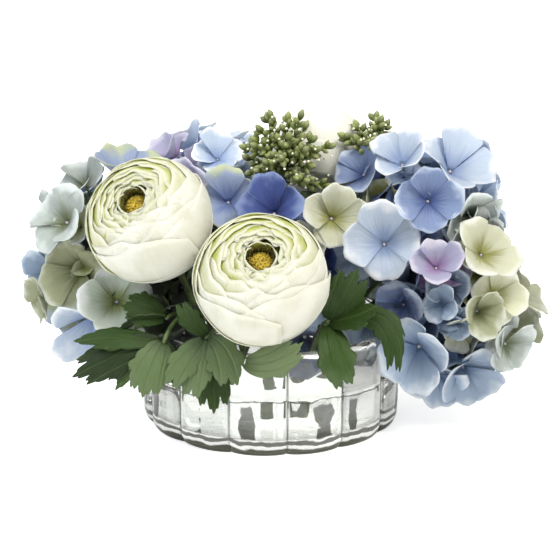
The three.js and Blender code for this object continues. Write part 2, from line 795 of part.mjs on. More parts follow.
for (const head of heads) {
  const draw = seeded(head.seed);
  const centre = point(head.centre);
  const radii = point(head.radii);
  let whole = head.ball;
  const middleRadius = (radii.x + radii.y + radii.z) / 3 - FLORET_DEPTH;
  const covered = 2 * Math.PI * middleRadius ** 2 * (1 - Math.cos(radians(head.widest)));
  const count = Math.round(covered / FLORET_AREA);
  for (const out of fanned(point(head.facing).normalize(), count, head.widest, draw() * 6)) {
    const lean = new THREE.Vector3(draw() - 0.5, draw() - 0.5, draw() - 0.5).multiplyScalar(0.4);
    const aim = out.clone().add(lean).normalize();
    const coreRadius = out.clone().multiply(point(head.core)).length();
    const middleDistance = out.clone().multiply(radii.clone().subScalar(FLORET_DEPTH)).length();
    const flower = floret(draw, middleDistance - coreRadius + ROOTED);
    let best = null;
    for (const size of FLORET_SIZES)
      for (const lift of LIFTS)
        for (let spin = 0; spin < SPINS && !(best && best.crossing < SLIGHT); spin += 1) {
          const middle = centre.clone().add(out.clone().multiply(radii.clone().subScalar(FLORET_DEPTH - lift)));
          const spun = flower.rotate([0, 0, (90 * spin) / SPINS]);
          const made = aimed(spun.scale(size), aim, middle);
          if (crosses(aimed(spun.scale(size * FREE_ROOM), aim, middle), head.name)) continue;
          const crossing = made.intersect(whole).volume() - made.intersect(head.ball).volume();
          if (!best || crossing < best.crossing) best = { made, crossing };
        }
    if (best) whole = whole.add(best.made);
  }
  addMesh(head.name, keep(tidied(largestBody(whole))), head.material, centre);
}

// Water: fills the vase to its level, with a plain hole for each stem
const waterRings = [
  { radius: VASE.innerRadius - 8 - CLEARANCE, z: VASE.floor + CLEARANCE },
  { radius: VASE.innerRadius - 1 - CLEARANCE, z: HEEL_HEIGHT + 3 + CLEARANCE },
  { radius: VASE.innerRadius - 0.6 - CLEARANCE, z: WATER_LEVEL },
];
const fullWater = solidOf(turned(waterRings, vaseSides / 2, plainRadius).rotateZ(vaseTurn));
addMesh("water", stemHoles.reduce((water, hole) => water.subtract(hole), fullWater), materials.water);

export default arrangement;
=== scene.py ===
# Hydrangeas and ranunculus of woven fabric in a low fluted glass vase, with their leaves and seed sprays.
# Metres, +Z up, the front of the arrangement towards -Y. Every piece keeps the place and form of its solid.
import math
from collections import namedtuple

import bpy
import numpy as np
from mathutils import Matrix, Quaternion, Vector, kdtree


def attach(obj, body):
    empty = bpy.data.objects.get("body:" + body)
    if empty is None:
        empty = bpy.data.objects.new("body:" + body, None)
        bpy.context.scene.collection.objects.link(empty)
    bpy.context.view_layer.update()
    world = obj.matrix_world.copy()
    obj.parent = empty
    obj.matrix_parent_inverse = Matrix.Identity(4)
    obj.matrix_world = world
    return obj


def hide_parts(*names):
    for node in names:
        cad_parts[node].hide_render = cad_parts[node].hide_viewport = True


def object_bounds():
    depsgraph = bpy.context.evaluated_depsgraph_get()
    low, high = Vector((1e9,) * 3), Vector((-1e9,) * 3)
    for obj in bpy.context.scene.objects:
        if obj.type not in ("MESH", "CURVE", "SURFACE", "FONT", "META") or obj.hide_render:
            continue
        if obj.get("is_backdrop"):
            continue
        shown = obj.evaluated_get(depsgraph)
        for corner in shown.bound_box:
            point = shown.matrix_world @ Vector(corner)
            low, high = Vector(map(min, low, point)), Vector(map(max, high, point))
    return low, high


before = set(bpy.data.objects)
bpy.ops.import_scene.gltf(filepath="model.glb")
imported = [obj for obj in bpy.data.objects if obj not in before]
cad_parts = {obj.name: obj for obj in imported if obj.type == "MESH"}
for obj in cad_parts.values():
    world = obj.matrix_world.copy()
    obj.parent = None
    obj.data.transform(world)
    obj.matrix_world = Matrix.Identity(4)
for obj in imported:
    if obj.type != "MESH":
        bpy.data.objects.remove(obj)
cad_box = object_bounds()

# Camera: looks a little down on the front of the vase, from about a metre away.
# Its lens and height follow from the ellipse of the vase's foot.
MM = 0.001
CAMERA_AWAY = 1.1
camera_aim = Vector((3.5, 0, 96)) * MM
camera_elevation = math.radians(15.5)
camera_data = bpy.data.cameras.new("camera")
camera_data.sensor_fit = "VERTICAL"
camera_data.sensor_height = 36
camera_data.lens = 104.5
camera = bpy.data.objects.new("camera", camera_data)
camera_way = Vector((0, -math.cos(camera_elevation), math.sin(camera_elevation)))
camera.location = camera_aim + CAMERA_AWAY * camera_way
camera.rotation_euler = (math.pi / 2 - camera_elevation, 0, 0)
bpy.context.scene.collection.objects.link(camera)
bpy.context.scene.camera = camera
bpy.context.scene.view_settings.view_transform = "Standard"

# Studio: a pale floor under a pale sky, with a wide soft light above and weaker ones at the left and behind.
# The sky is darker low down, which gives the glass its grey edges, and the floor glows for camera and glass.


def add_node(tree, kind, inputs=None, **settings):
    node = tree.nodes.new(kind)
    for key, value in settings.items():
        setattr(node, key, value)
    for key, value in (inputs or {}).items():
        if isinstance(value, bpy.types.NodeSocket):
            tree.links.new(value, node.inputs[key])
        elif isinstance(value, tuple) and len(value) == 3 and node.inputs[key].type == "RGBA":
            node.inputs[key].default_value = (*value, 1)
        else:
            node.inputs[key].default_value = value
    return node


def tree_of(*values):
    """The node tree that the first socket among the values stands in"""
    return next(value.id_data for value in values if isinstance(value, bpy.types.NodeSocket))


def maths(operation, first, second=0.0):
    node = add_node(tree_of(first, second), "ShaderNodeMath", {0: first, 1: second}, operation=operation)
    return node.outputs[0]


def times(first, second):
    return maths("MULTIPLY", first, second)


def plus(first, second):
    return maths("ADD", first, second)


def minus(first, second):
    return maths("SUBTRACT", first, second)


def larger(first, second):
    return maths("MAXIMUM", first, second)


def mixed(factor, first, second):
    """Two colours mixed. Blender's Mix node has its colours at sockets 6 and 7, and their mix at output 2."""
    sockets = {0: factor, 6: first, 7: second}
    return add_node(tree_of(factor, first, second), "ShaderNodeMix", sockets, data_type="RGBA").outputs[2]


def eased(value, low, high, bottom=0.0, top=1.0):
    """From bottom to top without a corner, as the value goes from low to high"""
    sockets = {"Value": value, "From Min": low, "From Max": high, "To Min": bottom, "To Max": top}
    node = add_node(tree_of(value), "ShaderNodeMapRange", sockets, interpolation_type="SMOOTHSTEP")
    return node.outputs["Result"]


def noise(place, scale, detail=2.0):
    sockets = {"Vector": place, "Scale": scale, "Detail": detail}
    return add_node(tree_of(place), "ShaderNodeTexNoise", sockets).outputs["Fac"]


def place_in(tree):
    return add_node(tree, "ShaderNodeTexCoord").outputs["Object"]


def split(vector):
    return add_node(tree_of(vector), "ShaderNodeSeparateXYZ", {"Vector": vector}).outputs


def linear(code):
    shares = [int(code[k : k + 2], 16) / 255 for k in (0, 2, 4)]
    return tuple(c / 12.92 if c <= 0.04045 else ((c + 0.055) / 1.055) ** 2.4 for c in shares)


def new_material(name):
    material = bpy.data.materials.new(name)
    material.use_nodes = True
    material.node_tree.nodes.clear()
    return material, material.node_tree


def principled(tree, sockets):
    return add_node(tree, "ShaderNodeBsdfPrincipled", sockets).outputs["BSDF"]


def put_out(tree, shader):
    add_node(tree, "ShaderNodeOutputMaterial", {"Surface": shader})


def soft_light(name, place, size, watts, colour):
    data = bpy.data.lights.new(name, "AREA")
    data.shape = "DISK"
    data.size = size
    data.energy = watts
    data.color = linear(colour)
    light = bpy.data.objects.new(name, data)
    light.location = place
    light.rotation_euler = (camera_aim - Vector(place)).to_track_quat("-Z", "Y").to_euler()
    bpy.context.scene.collection.objects.link(light)


soft_light("key_light", (0.45, -0.6, 1.3), 0.7, 18, "fffaf2")
soft_light("left_light", (-1.1, -0.5, 0.8), 0.6, 8, "f4f8ff")
soft_light("back_light", (-0.5, 1.1, 0.9), 0.6, 10, "ffffff")

world = bpy.data.worlds.new("studio")
bpy.context.scene.world = world
world.use_nodes = True
sky = world.node_tree
sky.nodes.clear()
sky_way = split(add_node(sky, "ShaderNodeTexCoord").outputs["Generated"])
sky_upward = eased(sky_way["Z"], 0.0, 0.55, 0.3, 0.85)
sky_sideways = eased(maths("ABSOLUTE", sky_way["X"]), 0.35, 0.75, 1.0, 0.55)
sky_sockets = {"Color": (1, 1, 1), "Strength": times(sky_upward, sky_sideways)}
sky_light = add_node(sky, "ShaderNodeBackground", sky_sockets).outputs["Background"]
add_node(sky, "ShaderNodeOutputWorld", {"Surface": sky_light})

floor_material, tree = new_material("pale_floor")
floor_place = place_in(tree)
floor_away = add_node(tree, "ShaderNodeVectorMath", {0: floor_place}, operation="LENGTH").outputs["Value"]
floor_rays = add_node(tree, "ShaderNodeLightPath").outputs
seen_in_glass = minus(floor_rays["Is Transmission Ray"], floor_rays["Is Diffuse Ray"])
floor_seen = larger(times(floor_rays["Is Camera Ray"], 2.1), seen_in_glass)
# The floor glows less near the vase, a painted contact shade round its foot, and more for the camera and
# through the glass, which washes out the shadows cast on it
floor_glow = plus(eased(floor_away, 0.07, 0.4, 0.1, 0.3), times(floor_seen, 0.27))
floor_sockets = {
    "Base Color": mixed(noise(floor_place, 6.0, 3.0), linear("f6f6f5"), linear("fbfbfa")),
    "Roughness": 0.7,
    "Emission Color": (1, 1, 1),
    "Emission Strength": floor_glow,
}
put_out(tree, principled(tree, floor_sockets))
floor_mesh = bpy.data.meshes.new("floor")
floor_mesh.from_pydata([(-7, -4, 0), (7, -4, 0), (7, 10, 0), (-7, 10, 0)], [], [(0, 1, 2, 3)])
floor_mesh.materials.append(floor_material)
floor = bpy.data.objects.new("floor", floor_mesh)
bpy.context.scene.collection.objects.link(floor)
floor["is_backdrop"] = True

# Vase: one piece of clear pressed glass. Fourteen convex flutes run down its outside and meet in sharp
# grooves. Its inner wall is smooth and round, its rim and heel are fire-polished, and its foot is flat.


class Form:
    """A mesh in the making: points in millimetres, faces of four corners, and marks for the materials"""

    def __init__(self):
        self.points, self.faces, self.edges, self.marks, self.count = [], [], [], {}, 0

    def add(self, points, faces, edges=None, **marks):
        points = np.asarray(points, float).reshape(-1, 3)
        self.points.append(points)
        self.faces.append(np.asarray(faces, int) + self.count)
        self.edges.append(np.zeros(len(faces), bool) if edges is None else edges)
        for name, mark in marks.items():
            self.marks.setdefault(name, []).append(np.broadcast_to(np.asarray(mark, float), points.shape))
        self.count += len(points)

    def piece(self, name, material, nodes, slot):
        mesh = bpy.data.meshes.new(name)
        points = np.concatenate(self.points) * MM
        faces = np.concatenate(self.faces)
        mesh.vertices.add(len(points))
        mesh.vertices.foreach_set("co", points.ravel())
        mesh.loops.add(faces.size)
        mesh.loops.foreach_set("vertex_index", faces.ravel())
        mesh.polygons.add(len(faces))
        mesh.polygons.foreach_set("loop_start", np.arange(0, faces.size, 4))
        mesh.update(calc_edges=True)
        mesh.polygons.foreach_set("use_smooth", ~np.concatenate(self.edges))
        for mark, values in self.marks.items():
            attribute = mesh.attributes.new(mark, "FLOAT_COLOR", "POINT")
            colours = np.ones((len(points), 4))
            colours[:, :3] = np.concatenate(values)
            attribute.data.foreach_set("color", colours.ravel())
        mesh.materials.append(material)
        piece = bpy.data.objects.new(name, mesh)
        bpy.context.scene.collection.objects.link(piece)
        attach(piece, "root")
        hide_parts(*nodes)


def ringed(rings, first=None, last=None):
    """A closed body of rings, each with the same even number of points, between its two end points"""
    rings = np.asarray(rings, float)
    rows, around = rings.shape[:2]
    number = np.arange(rows * around).reshape(rows, around)
    beside = np.roll(number, -1, axis=1)
    walls = np.stack([number[:-1], beside[:-1], beside[1:], number[1:]], axis=-1).reshape(-1, 4)
    low, high = rows * around, rows * around + 1
    evens = np.arange(0, around, 2)
    fan = [evens, evens + 1, (evens + 2) % around]
    bottom = np.stack([np.full_like(evens, low), *(number[0][step] for step in reversed(fan))], axis=-1)
    top = np.stack([np.full_like(evens, high), *(number[-1][step] for step in fan)], axis=-1)
    ends = [rings[0].mean(0) if first is None else first, rings[-1].mean(0) if last is None else last]
    return np.concatenate([rings.reshape(-1, 3), ends]), np.concatenate([walls, bottom, top])


def turned(radii, heights, sides=None):
    """Rings round the Z axis, from a radius a point, or a radius a ring and the number of sides"""
    radii = np.asarray(radii, float)
    if sides is not None:
        radii = np.repeat(radii.reshape(-1, 1), sides, axis=1)
    angles = np.linspace(0, 2 * math.pi, radii.shape[1], endpoint=False)
    heights = np.broadcast_to(np.reshape(heights, (-1, 1)), radii.shape)
    return np.stack([radii * np.cos(angles), radii * np.sin(angles), heights], axis=-1)


def band(value, start, full, fade, end):
    """One between full and fade, and nought before start and after end"""
    return times(eased(value, start, full), eased(value, fade, end, 1.0, 0.0))


def bumped(height, strength, distance):
    sockets = {"Height": height, "Strength": strength, "Distance": distance}
    return add_node(tree_of(height), "ShaderNodeBump", sockets).outputs["Normal"]


def marks_of(tree, name):
    """The three shares that a form carries under a name"""
    colour = add_node(tree, "ShaderNodeAttribute", attribute_name=name).outputs["Color"]
    return tuple(add_node(tree, "ShaderNodeSeparateColor", {"Color": colour}).outputs)


def blended(share, first, second):
    return add_node(tree_of(first), "ShaderNodeMixShader", {0: share, 1: first, 2: second}).outputs["Shader"]


def put_out_clear(tree, sockets, film):
    """Glass or water, which casts only the faint shadow of a tinted film"""
    body = principled(tree, {"Transmission Weight": 1.0, **sockets})
    film = add_node(tree, "ShaderNodeBsdfTransparent", {"Color": linear(film)}).outputs["BSDF"]
    shadow_ray = add_node(tree, "ShaderNodeLightPath").outputs["Is Shadow Ray"]
    put_out(tree, blended(shadow_ray, body, film))


FLUTES = 14
FLUTE_STEPS = 16
FLUTE_DEPTH = 4
FIRST_GROOVE = math.radians(7.1 - 90)
# Radius, height and share of the flutes' depth, from the foot up the outside, over the rim and down inside
vase_profile = np.array(
    [
        (30, 0, 0), (74, 0, 0), (79, 0.0, 0.8), (81.2, 0.3, 0.9), (83.2, 0.9, 1), (84.8, 1.8, 1),
        (86.2, 3.4, 1), (87.2, 5.6, 1), (87.8, 8, 1), (88, 11, 1), (88, 20, 1), (88, 32, 1), (88, 44, 1),
        (88, 56, 1), (88, 63, 1), (87.7, 65.6, 0.95), (87, 67.6, 0.8), (85.8, 69.1, 0.6), (84.2, 69.9, 0.4),
        (82.4, 70.1, 0.2), (80.9, 69.6, 0.08), (79.8, 68.6, 0), (79.2, 67, 0), (78.8, 62, 0), (78.3, 50, 0),
        (77.8, 36, 0), (77.3, 22, 0), (77, 15, 0), (76.5, 12.6, 0), (75.4, 10.8, 0), (73.6, 9.6, 0),
        (71, 9.1, 0), (66, 9, 0), (30, 9, 0),
    ]
)
OUTER_ROWS = 16
# A painted dark bar down each flute, a painted reflection of the stems: its place across the flute, and its
# half width
painted_reflection_bars = np.array(
    [
        (-0.27, 0.34), (0.62, 0.16), (-0.3, 0.25), (0.1, 0.4), (0.5, 0.2), (-0.1, 0.3), (0.3, 0.16),
        (-0.4, 0.3), (0.2, 0.22), (0, 0.34), (-0.5, 0.2), (0.35, 0.3), (0.08, 0.14), (0.3, 0.3),
    ]
)
flute_number = np.arange(FLUTES * FLUTE_STEPS) // FLUTE_STEPS
flute_place = np.cos(np.pi * (np.arange(FLUTES * FLUTE_STEPS) % FLUTE_STEPS) / FLUTE_STEPS)
flute_angles = FIRST_GROOVE + (flute_number + (1 - flute_place) / 2) * 2 * math.pi / FLUTES
flute_hollow = 1 - np.sqrt(np.clip(1 - flute_place**2, 0, 1))
vase_radii = vase_profile[:, :1] - FLUTE_DEPTH * vase_profile[:, 2:] * flute_hollow
vase_heights = np.broadcast_to(vase_profile[:, 1:2], vase_radii.shape)
vase_rings = np.stack(
    [vase_radii * np.cos(flute_angles), vase_radii * np.sin(flute_angles), vase_heights], axis=-1
)
reflection_place, reflection_half = painted_reflection_bars[flute_number].T
reflection_share = np.exp(-(((flute_place - reflection_place) / reflection_half) ** 4))
vase_rows = np.arange(len(vase_profile))[:, None]
on_outside = (vase_rows > 0) & (vase_rows < OUTER_ROWS)
glass_marks = np.stack(np.broadcast_arrays(reflection_share, np.abs(flute_place), on_outside), axis=-1)
glass_marks = glass_marks.reshape(-1, 3)
glass_marks = np.concatenate([glass_marks, np.zeros((2, 3))])

glass, tree = new_material("pressed_glass")
glass_place = place_in(tree)
reflection_mark, groove_mark, outside_mark = marks_of(tree, "spot")
wander = minus(noise(glass_place, 60.0, 3.0), 0.5)
glass_height = plus(split(glass_place)["Z"], times(wander, 0.008))
# Painted reflection: a ragged dark bar down each flute, between the heel and the water's surface
reflection_bar = eased(plus(reflection_mark, times(wander, 2.8)), 0.45, 0.62)
reflection_bar = times(reflection_bar, band(glass_height, 0.0128, 0.0138, 0.0345, 0.036))
reflection_bar = times(reflection_bar, eased(minus(glass_height, times(wander, 0.03)), 0.014, 0.036, 0.992, 0.93))
# Painted shade along each groove between the flutes
groove_shade = times(eased(groove_mark, 0.93, 1.0), eased(wander, -0.2, 0.1, 0.7, 0.985))
# Painted shade: dark bands round the foot, along the inner heel and at the water's surface
painted_foot_band = eased(glass_height, 0.0058, 0.0074, 1.0, 0.0)
painted_heel_band = times(band(glass_height, 0.0086, 0.0092, 0.0115, 0.0128), 0.98)
painted_water_line = times(band(glass_height, 0.0375, 0.038, 0.0385, 0.039), 0.93)
painted_bands = larger(larger(painted_foot_band, painted_heel_band), painted_water_line)
# The painted reflections and shade, laid over the outside of the glass in near black
painted_dark_share = times(larger(larger(reflection_bar, groove_shade), painted_bands), outside_mark)
glass_edge = add_node(tree, "ShaderNodeLayerWeight", {"Blend": 0.35}).outputs["Facing"]
glass_colour = mixed(eased(glass_edge, 0.6, 1.0), linear("fefffe"), linear("3d4238"))
glass_sockets = {
    "Base Color": mixed(painted_dark_share, glass_colour, linear("0d0e06")),
    "IOR": 1.48,
    "Roughness": eased(noise(glass_place, 300.0), 0.3, 0.8, 0.0, 0.05),
    "Normal": bumped(noise(glass_place, 70.0), 0.15, 0.0006),
}
put_out_clear(tree, glass_sockets, "f4f5f1")
vase = Form()
vase.add(*ringed(vase_rings), spot=glass_marks)
vase.piece("fluted_vase", glass, ["vase"], "glass")

# Water: clear, poured to a little over half the vase's height. It meets the glass with no air between,
# and its surface climbs a little where it touches the wall.
WATER_SIDES = 96
# Radius and height, from the bottom up the wall to the surface
water_profile = np.array(
    [
        (20, 8.9), (66, 8.9), (71, 9.0), (73.7, 9.5), (75.5, 10.7), (76.6, 12.6), (77.1, 15), (77.4, 22),
        (77.85, 35.8), (77.9, 38.2), (77.2, 37.5), (76.2, 37.15), (74.5, 37), (40, 37), (15, 37),
    ]
)
water_material, tree = new_material("clear_water")
water_sockets = {
    "Base Color": linear("fdfefd"),
    "IOR": 1.33,
    "Roughness": 0.0,
    "Normal": bumped(noise(place_in(tree), 25.0), 0.1, 0.0005),
}
put_out_clear(tree, water_sockets, "f9faf8")
water = Form()
water.add(*ringed(turned(*water_profile.T, WATER_SIDES)))
water.piece("vase_water", water_material, ["water"], "water")

# Stems: moulded over wire, ribbed lengthways, cut off straight at the foot.
# Each curves from its foot in the water over the vase's rim into what it carries.
STEM_FOOT = 13
STEM_STEPS = 28
HYDRANGEA_STEM = 2.6
SOCKET = 9


def seeded(seed):
    state = seed

    def draw():
        nonlocal state
        state = state * 16807 % 2147483647
        return state / 2147483647

    return draw


def unit(vector):
    vector = np.asarray(vector, float)
    return vector / np.linalg.norm(vector, axis=-1, keepdims=True)


def bend(start, via, end, steps):
    t = np.linspace(0, 1, steps)[:, None]
    start, via, end = (np.asarray(spot, float) for spot in (start, via, end))
    return (1 - t) ** 2 * start + 2 * t * (1 - t) * via + t**2 * end


def tube(path, radii, sides=10):
    path = np.asarray(path, float)
    ways = unit(np.gradient(path, axis=0))
    side = np.cross(ways[0], [0.3, 0.5, 0.8] if abs(ways[0][0]) > 0.9 else [1.0, 0.1, 0.2])
    angles = np.linspace(0, 2 * math.pi, sides, endpoint=False)[:, None]
    rings = []
    for place, way, radius in zip(path, ways, np.broadcast_to(radii, len(path))):
        side = unit(side - way * (side @ way))
        rings.append(place + radius * (np.cos(angles) * side + np.sin(angles) * np.cross(way, side)))
    return ringed(rings)


def stem_tube(foot, via, end, radius):
    path = bend([*foot, STEM_FOOT], via, end, STEM_STEPS)
    swelling = 1 + 0.05 * np.sin(np.arange(STEM_STEPS) * 1.7 + foot[0])
    return tube(path, radius * swelling, 12)


# Fine grain that several finishes share: small lumps, and a colour share that drifts over the surface
grain = bpy.data.node_groups.new("surface_grain", "ShaderNodeTree")
for name, default in (("Lump Size", 900.0), ("Drift Size", 60.0)):
    grain.interface.new_socket(name, in_out="INPUT", socket_type="NodeSocketFloat").default_value = default
for name in ("Lumps", "Drift"):
    grain.interface.new_socket(name, in_out="OUTPUT", socket_type="NodeSocketFloat")
grain_in = add_node(grain, "NodeGroupInput").outputs
grain_place = place_in(grain)
grain_shares = {0: noise(grain_place, grain_in[0], 3.0), 1: noise(grain_place, grain_in[1])}
add_node(grain, "NodeGroupOutput", grain_shares)


def placed_group(tree, group, **values):
    node = tree.nodes.new("ShaderNodeGroup")
    node.node_tree = group
    for name, value in values.items():
        socket = node.inputs[name.replace("_", " ")]
        if isinstance(value, bpy.types.NodeSocket):
            tree.links.new(value, socket)
        else:
            socket.default_value = value
    return node.outputs


def plain_finish(name, colours, roughness, grain_sizes, drift, bump):
    """A moulded finish whose colour drifts between two, over fine lumps"""
    material, tree = new_material(name)
    grain_out = placed_group(tree, grain, Lump_Size=grain_sizes[0], Drift_Size=grain_sizes[1])
    sockets = {
        "Base Color": mixed(eased(grain_out["Drift"], *drift), linear(colours[0]), linear(colours[1])),
        "Roughness": roughness,
        "Normal": bumped(grain_out["Lumps"], *bump),
    }
    put_out(tree, principled(tree, sockets))
    return material


stem_tints = ("3e4a26", "5f7440")
stem_green = plain_finish("moulded_stem", stem_tints, 0.55, (700.0, 90.0), (0.35, 0.65), (0.5, 0.0006))
heads = {
    "hydrangea_right_upper": {
        "centre": (97, 6, 146), "radii": (59, 55, 54), "core": (36, 34, 30), "facing": (0.25, -0.6, 0.7),
        "widest": 128, "foot": (28, 8), "via": (56, 6, 84), "seed": 396489, "slot": "hydrangea_blue",
    },
    "hydrangea_right_lower": {
        "centre": (118, -16, 87), "radii": (56, 53, 70), "core": (33, 29, 36), "facing": (0.5, -0.8, 0.05),
        "widest": 125, "foot": (34, -8), "via": (62, -9, 100), "seed": 204935, "slot": "hydrangea_green_blue",
    },
    "hydrangea_left": {
        "centre": (-101, 12, 110), "radii": (67, 60, 70), "core": (42, 36, 42), "facing": (-0.6, -0.65, 0.1),
        "widest": 130, "foot": (-30, 6), "via": (-56, 10, 92), "seed": 358178, "slot": "hydrangea_green_blue",
    },
    "hydrangea_centre": {
        "centre": (12, -12, 104), "radii": (48, 48, 46), "core": (26, 26, 24), "facing": (0.3, -0.6, 0.75),
        "widest": 112, "foot": (4, -6), "via": (6, -7, 50), "seed": 166623, "slot": "hydrangea_deep_blue",
    },
    "hydrangea_back_left": {
        "centre": (-38, 76, 130), "radii": (62, 60, 62), "core": (40, 38, 38), "facing": (-0.15, 0.35, 0.9),
        "widest": 122, "foot": (-18, 30), "via": (-26, 50, 80), "seed": 319867, "slot": "hydrangea_blue",
    },
    "hydrangea_back_right": {
        "centre": (66, 88, 108), "radii": (60, 58, 58), "core": (38, 36, 36), "facing": (0.4, 0.75, 0.35),
        "widest": 115, "foot": (22, 34), "via": (40, 54, 66), "seed": 204934, "slot": "hydrangea_blue",
    },
}
for name, head in heads.items():
    centre = np.array(head["centre"], float)
    end = centre + unit(np.array(head["via"]) - centre) * (min(head["core"]) - SOCKET)
    form = Form()
    form.add(*stem_tube(head["foot"], head["via"], end, HYDRANGEA_STEM))
    form.piece(name + "_stalk", stem_green, [name + "_stem"], "stem")

# Leaves: flat fabric cut with pointed teeth and pressed over a mould, which leaves veins and bent edges.
# The front ones grow from the two front ranunculus; four picks hang over the rim at the right and the back.
BLADE = 0.7
LOBE_ROUND = 0.42
LOBE_CUP = 0.12
LOBE_APART = 0.4
LOBE_ROWS = 22
PATH_STEPS = 200
TOOTH_COLUMNS = 12
TOOTH_DEPTH = 0.13
FINE_TOOTH_DEPTH = 0.045
VEIN_RELIEF = 0.5
STALK_RADIUS = 1.3
PICK_STEM = 1.8
HANGING = {"reach": 24, "drop": 36, "spread": 27, "width": 33, "teeth": 4, "side": 0.8, "tone": 0.4}


def thin_sheet(grid, thickness):
    """A closed thin sheet: the points of its face, the same points set back, and a wall round the edge"""
    grid = np.asarray(grid, float)
    normals = unit(np.cross(np.gradient(grid, axis=0), np.gradient(grid, axis=1)))
    rows, columns = grid.shape[:2]
    number = np.arange(rows * columns).reshape(rows, columns)
    face = np.stack([number[:-1, :-1], number[1:, :-1], number[1:, 1:], number[:-1, 1:]], axis=-1)
    face = face.reshape(-1, 4)
    back = face[:, ::-1] + rows * columns
    rim = np.concatenate([number[:, 0], number[-1, 1:], number[-2::-1, -1], number[0, -2:0:-1]])
    ahead = np.roll(rim, -1)
    wall = np.stack([rim + rows * columns, ahead + rows * columns, ahead, rim], axis=-1)
    points = np.concatenate([grid.reshape(-1, 3), (grid - normals * thickness).reshape(-1, 3)])
    edges = np.arange(len(face) * 2 + len(wall)) >= len(face) * 2
    return points, np.concatenate([face, back, wall]), edges


def sheet_marks(*shares):
    """One mark a point for both sides of a sheet, from three shares over its grid"""
    grid = np.stack(np.broadcast_arrays(*shares), axis=-1).reshape(-1, 3)
    return np.concatenate([grid, grid])


def notches(place):
    """Nought in the middle of each tooth and one in the notches between them"""
    pointed = 2 * np.abs(place - np.round(place))
    rounded = 1 - np.abs(np.cos(np.pi * place)) ** 0.8
    return 0.35 * pointed + 0.65 * rounded


def leaf_lobe(form, root, lobe, draw):
    """A fan from its root through a point on the way to its tip, with toothed end and sides"""
    via, tip, width, teeth, tone, facing = lobe
    across = np.linspace(-1, 1, (teeth - 1) * TOOTH_COLUMNS + 1)
    tooth = (across + 1) * (teeth - 1) / 2
    uneven = 0.75 + 0.5 * np.sin(5 * across + 6 * draw()) ** 2
    toothed = 1 - TOOTH_DEPTH * uneven * notches(tooth) - FINE_TOOTH_DEPTH * notches(tooth * 3)
    share = np.linspace(0.03, 1, LOBE_ROWS)[:, None] ** 0.85
    along = share * ((1 - LOBE_ROUND * across**2) * toothed)
    path = bend(root, via, tip, PATH_STEPS)
    ways = unit(np.gradient(path, axis=0))
    facing = np.asarray(facing, float)
    normals = unit(facing - ways * (ways @ facing)[:, None])
    place = along * (PATH_STEPS - 1)
    low = np.clip(place.astype(int), 0, PATH_STEPS - 2)
    part = (place - low)[..., None]
    middle, aside, normal = (
        rows[low] * (1 - part) + rows[low + 1] * part for rows in (path, np.cross(ways, normals), normals)
    )
    side_teeth = 1 - 0.12 * notches(along * 5 + 0.3) * (along > 0.3) * np.abs(across) ** 3
    half = 0.58 * width * along**0.45 * side_teeth
    wave = 1.1 * np.sin(5 * along + 6 * draw()) * across * along
    vein = np.exp(-((np.abs(tooth - np.round(tooth)) * 9) ** 2)) * (1 - 0.6 * share)
    depth = LOBE_CUP * width * across**2 * along + VEIN_RELIEF * vein * np.minimum(1, along * 3) - wave
    grid = middle + aside * (across * half)[..., None] - normal * depth[..., None]
    marks = sheet_marks(share, tooth % 1, np.full_like(share, tone + 0.2 * (draw() - 0.5)))
    form.add(*thin_sheet(grid[:, ::-1], BLADE), spot=marks)


def put_out_fabric(tree, sockets, glow, glow_share):
    """Thin fabric that lets a share of the light through, in a colour of its own"""
    glow_sockets = {"Color": glow, "Normal": sockets["Normal"]}
    glow = add_node(tree, "ShaderNodeBsdfTranslucent", glow_sockets).outputs["BSDF"]
    put_out(tree, blended(glow_share, principled(tree, sockets), glow))


veins = bpy.data.node_groups.new("pressed_veins", "ShaderNodeTree")
for name, default in (("Along", 0.5), ("Across", 0.5), ("Branches", 6.0), ("Slant", 1.5)):
    veins.interface.new_socket(name, in_out="INPUT", socket_type="NodeSocketFloat").default_value = default
veins.interface.new_socket("Vein", in_out="OUTPUT", socket_type="NodeSocketFloat")
veins_in = add_node(veins, "NodeGroupInput").outputs
from_middle = maths("ABSOLUTE", minus(veins_in["Across"], 0.5))
slanted = plus(veins_in["Along"], times(from_middle, veins_in["Slant"]))
branch_line = eased(maths("PINGPONG", times(slanted, veins_in["Branches"]), 0.5), 0.0, 0.16, 0.6, 0.0)
add_node(veins, "NodeGroupOutput", {0: larger(branch_line, eased(from_middle, 0.36, 0.5))})

leaf_finish, tree = new_material("leaf_fabric")
along_mark, tooth_mark, tone_mark = marks_of(tree, "spot")
grain_out = placed_group(tree, grain, Lump_Size=1100.0, Drift_Size=55.0)
vein_out = placed_group(tree, veins, Along=along_mark, Across=tooth_mark, Branches=5.0, Slant=-0.9)["Vein"]
green = mixed(eased(tone_mark, 0.0, 0.5), linear("172709"), linear("2f4c14"))
green = mixed(eased(tone_mark, 0.5, 1.0), green, linear("6e8058"))
bloom = times(eased(grain_out["Drift"], 0.42, 0.68, 0.0, 0.6), eased(tone_mark, 0.2, 0.8, 0.1, 1.0))
green = mixed(bloom, green, linear("66785a"))
# Painted shade: darker towards each lobe's root, where the lobes meet and overlap
green = mixed(eased(along_mark, 0.0, 0.4, 0.6, 0.0), green, linear("1c2b10"))
green = mixed(times(vein_out, 0.22), green, linear("728b50"))
leaf_height = minus(grain_out["Lumps"], times(vein_out, 1.2))
leaf_sockets = {
    "Base Color": green,
    "Roughness": 0.5,
    "Specular IOR Level": 0.3,
    "Normal": bumped(leaf_height, 0.55, 0.0007),
}
put_out_fabric(tree, leaf_sockets, mixed(0.5, green, linear("8fae3c")), 0.14)

